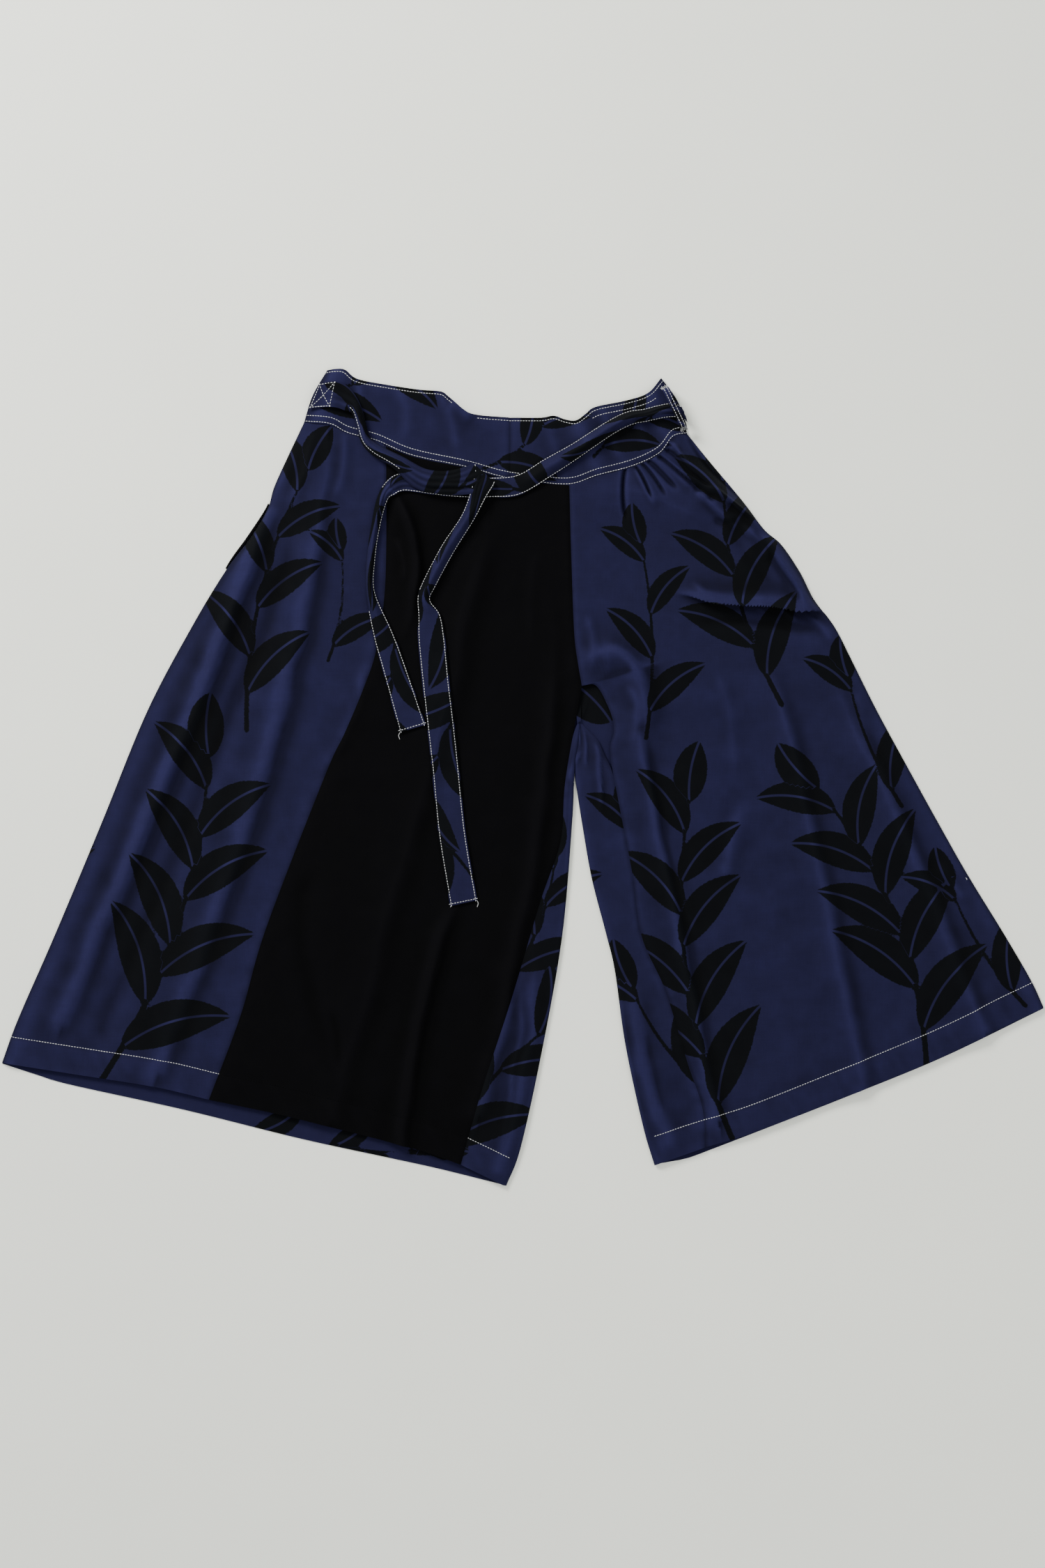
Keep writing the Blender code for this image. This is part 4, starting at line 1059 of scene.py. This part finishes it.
def cotton(name, dye, shades, print_and_shade_ink, gloss, sheen):
    """Woven cotton between two shades of its dye, with an ink print if one is given."""
    light, dark = (dye * shade for shade in shades)
    material, tree, shader, place = new_material(name)
    weave, wear = (add_node(tree, "ShaderNodeGroup", node_tree=made[kind]) for kind in ("weave", "wear"))
    for group in (weave, wear):
        tree.links.new(place, group.inputs["Position"])
    fade = wear.outputs["Fade"]
    colour = mixed(tree, ranged(tree, fade, *FADE_SPAN, 0.0, 1.0), dark, light)
    fields = {label: add_node(tree, "ShaderNodeAttribute", attribute_name=label).outputs["Fac"]
              for label in ("print_and_shade_ink", "vein", "painted_shade")}
    # Print, and one leaf of painted shade under the crotch arch, in the print colour
    if print_and_shade_ink is not None:
        grain = maths(tree, "SUBTRACT", noise_node(tree, place, INK_GRAIN_SCALE, 3.0), 0.5)
        ragged = maths(tree, "MULTIPLY", grain, INK_RAGGEDNESS)
        print_and_shade_cover = ranged(tree, maths(tree, "ADD", fields["print_and_shade_ink"], ragged), -INK_EDGE, INK_EDGE, 1.0, 0.0)
        bare = ranged(tree, maths(tree, "ABSOLUTE", fields["vein"]), *VEIN_EDGES, 1.0, 0.0)
        factor = maths(tree, "MULTIPLY", print_and_shade_cover, maths(tree, "SUBTRACT", 1.0, bare))
        colour = mixed(tree, factor, colour, print_and_shade_ink)
    # Painted shade in the dips of the cloth and painted highlight on its crests, times the yarns' own tone
    level = maths(tree, "MULTIPLY", ranged(tree, weave.outputs["Shade"], 0.2, 0.5, *WEAVE_SHADES),
                  ranged(tree, fields["painted_shade"], -1.0, 1.0, *PAINTED_SHADE_SPAN))
    tone_and_painted_shade = add_node(tree, "ShaderNodeCombineColor", {0: level, 1: level, 2: level})
    relief = maths(tree, "ADD", maths(tree, "MULTIPLY", weave.outputs["Height"], WEAVE_RELIEF),
                   maths(tree, "MULTIPLY", wear.outputs["Crease"], CREASE_RELIEF))
    shaded = mixed(tree, 1.0, colour, tone_and_painted_shade.outputs[0], "MULTIPLY")
    roughness = ranged(tree, fade, 0.3, 0.7, *CLOTH_ROUGHNESS)
    finish_surface(tree, shader, shaded, roughness, gloss, relief, RELIEF_STRENGTH, RELIEF_DEPTH)
    shader.inputs["Sheen Weight"].default_value = sheen
    shader.inputs["Sheen Roughness"].default_value = 0.5
    shader.inputs["Sheen Tint"].default_value = SHEEN_TINT
    return material


def plain_material(name, light, dark, roughness, gloss, scale):
    """A matt material with a fine mottle, for thread and for the stage."""
    material, tree, shader, place = new_material(name)
    mottle = noise_node(tree, place, scale, 3.0)
    colour = mixed(tree, ranged(tree, mottle, 0.35, 0.65, 0.0, 1.0), dark, light)
    uneven = ranged(tree, mottle, 0.3, 0.7, roughness - 0.05, roughness + 0.05)
    finish_surface(tree, shader, colour, uneven, gloss, mottle, 0.2, 0.0002)
    return material


def need_materials(context):
    """Builds the cloth and thread materials once, from the user's colours."""
    if "printed_cotton" in made:
        return
    colours = context.scene.culottes_colours
    navy, black, thread = (np.array(colour) for colour in (colours.navy, colours.black, colours.thread))
    made["weave"], made["wear"] = weave_group(), wear_group()
    made["printed_cotton"] = cotton("printed_cotton", navy, NAVY_SHADES, colours.print_and_shade_ink, PRINTED_GLOSS,
                                    PRINTED_SHEEN)
    made["black_cotton"] = cotton("black_cotton", black, BLACK_SHADES, None, BLACK_GLOSS, 0.0)
    made["pale_thread"] = plain_material("pale_thread", thread, thread * 0.8, 0.6, 0.4, THREAD_MOTTLE)
    made["dark_thread"] = plain_material("dark_thread", black * 1.6, black, 0.7, 0.05, THREAD_MOTTLE)


def stitch_tree():
    """Stitches along lines: a rounded stitch on each step of a resampled curve."""
    if "stitches" in made:
        return made["stitches"]
    tree, given, out = new_tree("Running stitches", "GeometryNodeTree",
                                [("Lines", "NodeSocketGeometry", None), ("Pitch", "NodeSocketFloat", 0.003),
                                 ("Stitch Length", "NodeSocketFloat", 0.0022),
                                 ("Thread Radius", "NodeSocketFloat", 0.0003),
                                 ("Seed", "NodeSocketInt", STITCH_SEED),
                                 ("Material", "NodeSocketMaterial", None)],
                                [("Stitches", "NodeSocketGeometry")])
    radius = given.outputs["Thread Radius"]
    curve = add_node(tree, "GeometryNodeMeshToCurve", {0: given.outputs["Lines"]})
    spaced = add_node(tree, "GeometryNodeResampleCurve",
                      {"Curve": curve.outputs[0], "Length": given.outputs["Pitch"]}, mode="LENGTH")
    bead = add_node(tree, "GeometryNodeMeshUVSphere", {"Segments": 6, "Rings": 5, "Radius": 1.0})
    half = maths(tree, "MULTIPLY", given.outputs["Stitch Length"], 0.5)
    size = add_node(tree, "ShaderNodeCombineXYZ", {0: half, 1: radius, 2: radius})
    shaped = add_node(tree, "GeometryNodeTransform",
                      {"Geometry": bead.outputs["Mesh"], "Scale": size.outputs[0]})
    tangent = tree.nodes.new("GeometryNodeInputTangent")
    aligned = add_node(tree, "FunctionNodeAlignRotationToVector", {"Vector": tangent.outputs[0]}, axis="X")
    uneven = add_node(tree, "FunctionNodeRandomValue",
                      {0: STITCH_LEAST, 1: STITCH_MOST, "Seed": given.outputs["Seed"]},
                      data_type="FLOAT_VECTOR")
    sewn = add_node(tree, "GeometryNodeInstanceOnPoints",
                    {"Points": spaced.outputs[0], "Instance": shaped.outputs[0],
                     "Rotation": aligned.outputs[0], "Scale": uneven.outputs[0]})
    real = add_node(tree, "GeometryNodeRealizeInstances", {0: sewn.outputs[0]})
    soft = add_node(tree, "GeometryNodeSetShadeSmooth", {0: real.outputs[0]})
    coated = add_node(tree, "GeometryNodeSetMaterial",
                      {"Geometry": soft.outputs[0], "Material": given.outputs["Material"]})
    tree.links.new(coated.outputs[0], out.inputs[0])
    made["stitches"] = tree
    return tree


def on_grid(name, rows, columns):
    """Points just over a shell at fractional rows and columns of its grid."""
    grid, normals = made[name]["grid"], made[name]["normals"]
    proud = STITCH_PROUD + made[name]["proud"]
    rows = np.clip(np.asarray(rows, dtype=float), 0, grid.shape[0] - 1.001)
    columns = np.clip(np.asarray(columns, dtype=float), 0, grid.shape[1] - 1.001)
    i, j = rows.astype(int), columns.astype(int)
    fi, fj = (rows - i)[:, None], (columns - j)[:, None]

    def at(field):
        upper = field[i, j] * (1 - fj) + field[i, j + 1] * fj
        lower = field[i + 1, j] * (1 - fj) + field[i + 1, j + 1] * fj
        return upper * (1 - fi) + lower * fi
    return at(grid) + at(normals) * proud


def line_beside(name, inset, from_top=False, first=0, last=None):
    """A line at a fixed distance from a grid's last or first row."""
    grid = made[name]["grid"]
    gaps = distance_down(grid[::-1])[::-1] if from_top else distance_down(grid)
    columns = np.arange(first, grid.shape[1] if last is None else last + 1)
    rows = []
    for j in columns:
        order = np.argsort(gaps[:, j])
        rows.append(np.interp(inset, gaps[order, j], order))
    return on_grid(name, rows, columns)


def band_stitch_lines():
    """Twin lines over the waist seam, and the lines along the waistband's top edge."""
    lines = []
    for side in ("left", "right"):
        lines.extend(line_beside("cloth_band_" + side, inset) for inset in TWIN_STITCH)
    for side, inset, first, last in TOP_LINES:
        lines.append(line_beside("cloth_band_" + side, inset, True, first, last))
    return lines


def tie_stitch_lines(name):
    """Edge stitching of a tie where its edge is in sight, and a line across its end."""
    grid = made[name]["grid"]
    count = len(grid)
    inset = TIE_STITCH_INSET / TIE_WIDTH * TIE_COLUMNS
    width = np.linalg.norm(grid[:, 0, :2] - grid[:, -1, :2], axis=1)
    upright = unit_normals(grid)[:, :, 2]
    lines = []
    for column in (inset, TIE_COLUMNS - inset):
        shown = upright[:, int(column)] > UPRIGHT_ENOUGH
        if column == inset:
            shown &= width > FOLDED_TIE
        for run in np.split(np.arange(count), np.flatnonzero(np.diff(shown)) + 1):
            if shown[run[0]] and len(run) > 4:
                lines.append(on_grid(name, run, np.full(len(run), column)))
    if name == "cloth_tie_left":
        narrow, wide = HALF_FOLDED
        folded = np.flatnonzero((width > narrow) & (width < wide) & (np.arange(count) < 0.2 * count))
        lines.append(on_grid(name, folded, np.full(len(folded), TIE_COLUMNS - FOLD_STITCH)))
    lines.append(on_grid(name, np.full(9, count - 2.0), np.linspace(0.2, TIE_COLUMNS - 0.2, 9)))
    return lines


def x_box_lines():
    """The box with crossed lines that holds the left tie on the band."""
    near, far = X_BOX_START, X_BOX_LENGTH / TIE_STEP
    low, high = X_BOX_MARGIN, TIE_COLUMNS - X_BOX_MARGIN
    corners = [(near, low), (far, low), (far, high), (near, high), (near, low)]
    pairs = list(zip(corners, corners[1:])) + [(corners[0], corners[2]), (corners[1], corners[3])]
    return [on_grid("cloth_tie_left", np.linspace(start[0], end[0], 12), np.linspace(start[1], end[1], 12))
            for start, end in pairs]


def loop_stitch_lines():
    """Two lines along the belt loop, and the tacks at its ends."""
    lines = [on_grid("cloth_belt_loop", np.arange(LOOP_ROWS + 1), np.full(LOOP_ROWS + 1, column))
             for column in LOOP_LINES]
    for row in LOOP_TACKS:
        lines.append(on_grid("cloth_belt_loop", np.full(5, row), np.linspace(0.6, 7.4, 5)))
    return lines


def made_plain(name, guide, material):
    """Turns a guide's finished shape into a plain mesh of its own and removes the guide."""
    mesh = bpy.data.meshes.new_from_object(guide.evaluated_get(bpy.context.evaluated_depsgraph_get()))
    bpy.data.objects.remove(guide)
    if len(mesh.polygons) == 0:
        raise RuntimeError(f"nothing was made for {name}")
    mesh.name = name
    mesh.materials.clear()
    mesh.materials.append(material)
    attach(placed(name, mesh), BODY)


def stitched(name, lines, settings, material):
    """Makes stitches along lines as one plain mesh."""
    points, edges = [], []
    for line in lines:
        start = len(points)
        points.extend(((line - ORIGIN) * MM).tolist())
        edges.extend((start + k, start + k + 1) for k in range(len(line) - 1))
    data = bpy.data.meshes.new(name + "_lines")
    data.from_pydata(points, edges, [])
    guide = placed(name + "_lines", data)
    modifier = guide.modifiers.new("Stitches", "NODES")
    modifier.node_group = stitch_tree()
    values = {"Pitch": settings.pitch, "Stitch Length": settings.length, "Thread Radius": settings.radius,
              "Seed": STITCH_SEED, "Material": material}
    for item in modifier.node_group.interface.items_tree:
        if item.in_out == "INPUT" and item.name in values:
            modifier[item.identifier] = values[item.name]
    made_plain(name, guide, material)


def thread_tails(name, tails, radius, material):
    """Loose thread ends, as thin round tubes."""
    curve = bpy.data.curves.new(name + "_lines", "CURVE")
    curve.dimensions = "3D"
    curve.bevel_depth = radius
    curve.bevel_resolution = 1
    curve.use_fill_caps = True
    for tail in tails:
        points = (curve_through(tail, 6) - ORIGIN) * MM
        spline = curve.splines.new("POLY")
        spline.points.add(len(points) - 1)
        for point, place in zip(spline.points, points):
            point.co = (*place, 1.0)
    made_plain(name, placed(name + "_lines", curve), material)


class CULOTTES_PG_colours(bpy.types.PropertyGroup):
    """Colours of the cloth, the print and the thread."""
    navy: bpy.props.FloatVectorProperty(
        name="Navy", description="Ground colour of the printed cotton",
        subtype="COLOR", default=(0.0093, 0.0089, 0.0320), min=0.0, max=1.0)
    # The print colour also fills one leaf of painted shade under the crotch arch
    print_and_shade_ink: bpy.props.FloatVectorProperty(
        name="Print", description="Colour of the printed leaves",
        subtype="COLOR", default=(0.0011, 0.0014, 0.0021), min=0.0, max=1.0)
    black: bpy.props.FloatVectorProperty(
        name="Black", description="Colour of the plain front panel",
        subtype="COLOR", default=(0.0011, 0.0010, 0.0014), min=0.0, max=1.0)
    thread: bpy.props.FloatVectorProperty(
        name="Thread", description="Colour of the topstitching thread",
        subtype="COLOR", default=(0.62, 0.62, 0.61), min=0.0, max=1.0)


class CULOTTES_PG_sewing(bpy.types.PropertyGroup):
    """Sizes of the cloth and the stitches."""
    cloth: bpy.props.FloatProperty(
        name="Cloth", description="Thickness of one layer of cloth",
        subtype="DISTANCE", unit="LENGTH", default=0.0005, min=0.0001)
    band: bpy.props.FloatProperty(
        name="Band", description="Thickness of the doubled waistband and ties",
        subtype="DISTANCE", unit="LENGTH", default=0.0011, min=0.0002)
    pitch: bpy.props.FloatProperty(
        name="Pitch", description="Distance from stitch to stitch",
        subtype="DISTANCE", unit="LENGTH", default=0.0028, min=0.0005)
    length: bpy.props.FloatProperty(
        name="Stitch", description="Length of one stitch",
        subtype="DISTANCE", unit="LENGTH", default=0.0025, min=0.0004)
    radius: bpy.props.FloatProperty(
        name="Thread", description="Radius of the thread",
        subtype="DISTANCE", unit="LENGTH", default=0.00031, min=0.00005)


class CULOTTES_PG_stage(bpy.types.PropertyGroup):
    """Floor, light and camera."""
    floor: bpy.props.FloatVectorProperty(
        name="Floor", description="Colour of the surface",
        subtype="COLOR", default=(0.91, 0.918, 0.815), min=0.0, max=1.0)
    light: bpy.props.FloatProperty(
        name="Light", description="Power of the main softbox", subtype="POWER", default=128.0, min=0.0)
    height: bpy.props.FloatProperty(
        name="Camera height", description="Height of the camera over the surface",
        subtype="DISTANCE", unit="LENGTH", default=3.2, min=0.5)
    frame_height: bpy.props.FloatProperty(
        name="Framed length", description="Length of the surface that fills the picture's height",
        subtype="DISTANCE", unit="LENGTH", default=1.62, min=0.1)


class CULOTTES_OT_stage(bpy.types.Operator):
    """Pale floor, soft light and a camera straight above"""
    bl_idname = "culottes.stage"
    bl_label = "Stage"

    def execute(self, context):
        stage = context.scene.culottes_stage
        data = bpy.data.meshes.new("floor")
        corners = [(-FLOOR_HALF, -FLOOR_HALF, 0), (FLOOR_HALF, -FLOOR_HALF, 0),
                   (FLOOR_HALF, FLOOR_HALF, 0), (-FLOOR_HALF, FLOOR_HALF, 0)]
        data.from_pydata(corners, [], [(0, 1, 2, 3)])
        colour = np.array(stage.floor)
        surface = plain_material("pale_surface", colour * 1.01, colour * 0.99, 0.9, 0.5, FLOOR_MOTTLE)
        data.materials.append(surface)
        floor = placed("floor", data)
        floor.location.z = FLOOR_DROP
        for name, place, size, share in SOFTBOXES:
            lamp = bpy.data.lights.new(name, "AREA")
            lamp.shape = "SQUARE"
            lamp.size = size
            lamp.energy = stage.light * share
            thing = placed(name, lamp)
            thing.location = place
            x, y, z = place
            thing.rotation_euler = (math.atan2(math.hypot(x, y), z), 0.0, math.atan2(x, -y))
        world = bpy.data.worlds.new("soft_room")
        world.use_nodes = True
        background = world.node_tree.nodes["Background"]
        background.inputs["Color"].default_value = ROOM_COLOUR
        background.inputs["Strength"].default_value = ROOM_LIGHT
        context.scene.world = world
        lens = bpy.data.cameras.new("overhead")
        lens.sensor_width = 36.0
        lens.lens = lens.sensor_width * stage.height / stage.frame_height
        lens.clip_end = 20.0
        camera = placed("overhead", lens)
        camera.location = (*CAMERA_PLACE, stage.height)
        context.scene.camera = camera
        return {"FINISHED"}


class CULOTTES_OT_backs(bpy.types.Operator):
    """Both back panels, rolled round the inner folds"""
    bl_idname = "culottes.back_panels"
    bl_label = "Back panels"

    def execute(self, context):
        need_materials(context)
        cloth = context.scene.culottes_sewing.cloth / MM
        rows = panel_rows()
        left_inner, right_inner = inner_edges(rows)
        left = back_grid(WAIST_SIDE[:-1] + WAIST_CENTRE[1:], LEFT_BACK_HEM, along(LEFT_SIDE_EDGE, rows),
                         left_inner, LEFT_FOLD, LEFT_ROLL_SHARE)
        right = back_grid(WAIST_RIGHT[::-1], RIGHT_BACK_HEM, along(RIGHT_SIDE_EDGE, rows), right_inner,
                          RIGHT_FOLD, RIGHT_ROLL_SHARE)
        lay("cloth_back_left", "back_left", left, cloth, BACK_PRINT_AND_SHADE_LEAF)
        lay("cloth_back_right", "back_right", right, cloth, BACK_PRINT_AND_SHADE_LEAF)
        return {"FINISHED"}


class CULOTTES_OT_fronts(bpy.types.Operator):
    """The three front panels"""
    bl_idname = "culottes.front_panels"
    bl_label = "Front panels"

    def execute(self, context):
        need_materials(context)
        cloth = context.scene.culottes_sewing.cloth / MM
        rows = panel_rows()
        seam = along(PANEL_SEAM, rows)
        left_inner, right_inner = inner_edges(rows)
        side = front_grid((WAIST_SIDE, SIDE_HEM, along(LEFT_SIDE_EDGE, rows), seam), SIDE_COLUMNS, "first")
        centre = front_grid((WAIST_CENTRE, CENTRE_HEM, seam, left_inner), CENTRE_COLUMNS, None)
        right = front_grid((WAIST_RIGHT, RIGHT_HEM, right_inner, along(RIGHT_SIDE_EDGE, rows)),
                           RIGHT_COLUMNS, "last")
        lay("cloth_front_left_side", "front_left_side", side, cloth, SIDE_PRINT)
        lay("cloth_front_left_centre", "front_left_centre", centre, cloth, None)
        lay("cloth_front_right", "front_right", right, cloth, RIGHT_PRINT)
        return {"FINISHED"}


class CULOTTES_OT_waistband(bpy.types.Operator):
    """Front waistband in two pieces, and the back waistband under it"""
    bl_idname = "culottes.waistband"
    bl_label = "Waistband"

    def execute(self, context):
        need_materials(context)
        band = context.scene.culottes_sewing.band / MM
        left = band_grid(BAND_TOP_LEFT, BAND_SEAM_LEFT, BAND_LEFT_END, BAND_MIDDLE, BAND_COLUMNS, ("left",))
        right = band_grid(BAND_TOP_RIGHT, BAND_SEAM_RIGHT, BAND_MIDDLE, BAND_RIGHT_END, BAND_COLUMNS,
                          ("right",))
        back_top = [(x, y - BACK_BAND_DROP) for x, y in BAND_TOP_LEFT[:-1] + BAND_TOP_RIGHT]
        back = band_grid(back_top, BAND_SEAM_LEFT[:-1] + BAND_SEAM_RIGHT, [back_top[0]] + BAND_LEFT_END[1:],
                         [back_top[-1]] + BAND_RIGHT_END[1:], 2 * BAND_COLUMNS, ())
        back[:, :, 2] = band + 0.1
        lay("cloth_band_left", "waistband_front_left", left, band, BAND_PRINT)
        lay("cloth_band_right", "waistband_front_right", right, band, BAND_PRINT)
        lay("cloth_band_back", "waistband_back", back, band, BAND_PRINT)
        return {"FINISHED"}


class CULOTTES_OT_ties(bpy.types.Operator):
    """Both ties, across the band and down the front"""
    bl_idname = "culottes.ties"
    bl_label = "Ties"

    def execute(self, context):
        need_materials(context)
        band = context.scene.culottes_sewing.band / MM
        for side, stations, length in (("left", LEFT_TIE, 0.68), ("right", RIGHT_TIE, 0.56)):
            grid = tie_grid(stations)
            middle = lengths_of(grid[:, TIE_COLUMNS // 2, :2])
            across = (np.linspace(0.0, 1.0, TIE_COLUMNS + 1) - 0.5) * TIE_WIDTH
            cloth = np.stack(np.meshgrid(middle, across, indexing="ij"), axis=-1)
            lay("cloth_tie_" + side, "tie_" + side, grid, band, TIE_PRINT,
                cloth, 0.5)
        return {"FINISHED"}


class CULOTTES_OT_trim(bpy.types.Operator):
    """Belt loop and the edge of the pocket facing"""
    bl_idname = "culottes.trim"
    bl_label = "Belt loop and pocket facing"

    def execute(self, context):
        need_materials(context)
        cloth = context.scene.culottes_sewing.cloth / MM
        lay("cloth_belt_loop", "belt_loop_right", loop_grid(), 2 * cloth, BAND_PRINT)
        lay("cloth_pocket_facing", "pocket_facing_left", pocket_grid(), cloth, None)
        return {"FINISHED"}


class CULOTTES_OT_stitching(bpy.types.Operator):
    """Topstitching in pale thread, hems, tacks and loose thread ends"""
    bl_idname = "culottes.stitching"
    bl_label = "Stitching"

    def execute(self, context):
        sewing = context.scene.culottes_sewing
        pale, dark = made["pale_thread"], made["dark_thread"]
        hems = [line_beside(name, HEM_STITCH) for name in ("cloth_front_left_side", "cloth_front_right")]
        for name in ("cloth_back_left", "cloth_back_right"):
            hems.append(line_beside(name, HEM_STITCH, first=FLOOR_COLUMNS + ROLL_COLUMNS + 2))
        stitched("stitches_hems", hems, sewing, pale)
        stitched("stitches_black_hem", [line_beside("cloth_front_left_centre", HEM_STITCH)], sewing, dark)
        stitched("stitches_band", band_stitch_lines(), sewing, pale)
        ties = tie_stitch_lines("cloth_tie_left") + tie_stitch_lines("cloth_tie_right") + x_box_lines()
        stitched("stitches_ties", ties, sewing, pale)
        stitched("stitches_trim", loop_stitch_lines(), sewing, pale)
        thread_tails("thread_tails", LOOSE_ENDS, sewing.radius * LOOSE_END_SHARE, pale)
        return {"FINISHED"}


PIECES = (CULOTTES_OT_stage, CULOTTES_OT_backs, CULOTTES_OT_fronts, CULOTTES_OT_waistband, CULOTTES_OT_ties,
          CULOTTES_OT_trim, CULOTTES_OT_stitching)
GROUPS = (("culottes_colours", CULOTTES_PG_colours), ("culottes_sewing", CULOTTES_PG_sewing),
          ("culottes_stage", CULOTTES_PG_stage))


class CULOTTES_PT_panel(bpy.types.Panel):
    """Sidebar panel with the settings and a button for each group of pieces"""
    bl_idname = "CULOTTES_PT_panel"
    bl_label = "Culottes"
    bl_space_type = "VIEW_3D"
    bl_region_type = "UI"
    bl_category = "Culottes"

    def draw(self, context):
        for label, group in GROUPS:
            box = self.layout.box()
            for setting in group.__annotations__:
                box.prop(getattr(context.scene, label), setting)
        for piece in PIECES:
            self.layout.operator(piece.bl_idname)


def register():
    for label, group in GROUPS:
        bpy.utils.register_class(group)
        setattr(bpy.types.Scene, label, bpy.props.PointerProperty(type=group))
    for item in PIECES + (CULOTTES_PT_panel,):
        bpy.utils.register_class(item)


def unregister():
    for item in reversed(PIECES + (CULOTTES_PT_panel,)):
        bpy.utils.unregister_class(item)
    for label, group in reversed(GROUPS):
        delattr(bpy.types.Scene, label)
        bpy.utils.unregister_class(group)


def main():
    """Makes every piece in order and writes the sizes of both models."""
    register()
    bpy.ops.culottes.stage()
    bpy.ops.culottes.back_panels()
    bpy.ops.culottes.front_panels()
    bpy.ops.culottes.waistband()
    bpy.ops.culottes.ties()
    bpy.ops.culottes.trim()
    bpy.ops.culottes.stitching()


if __name__ == "__main__":
    main()
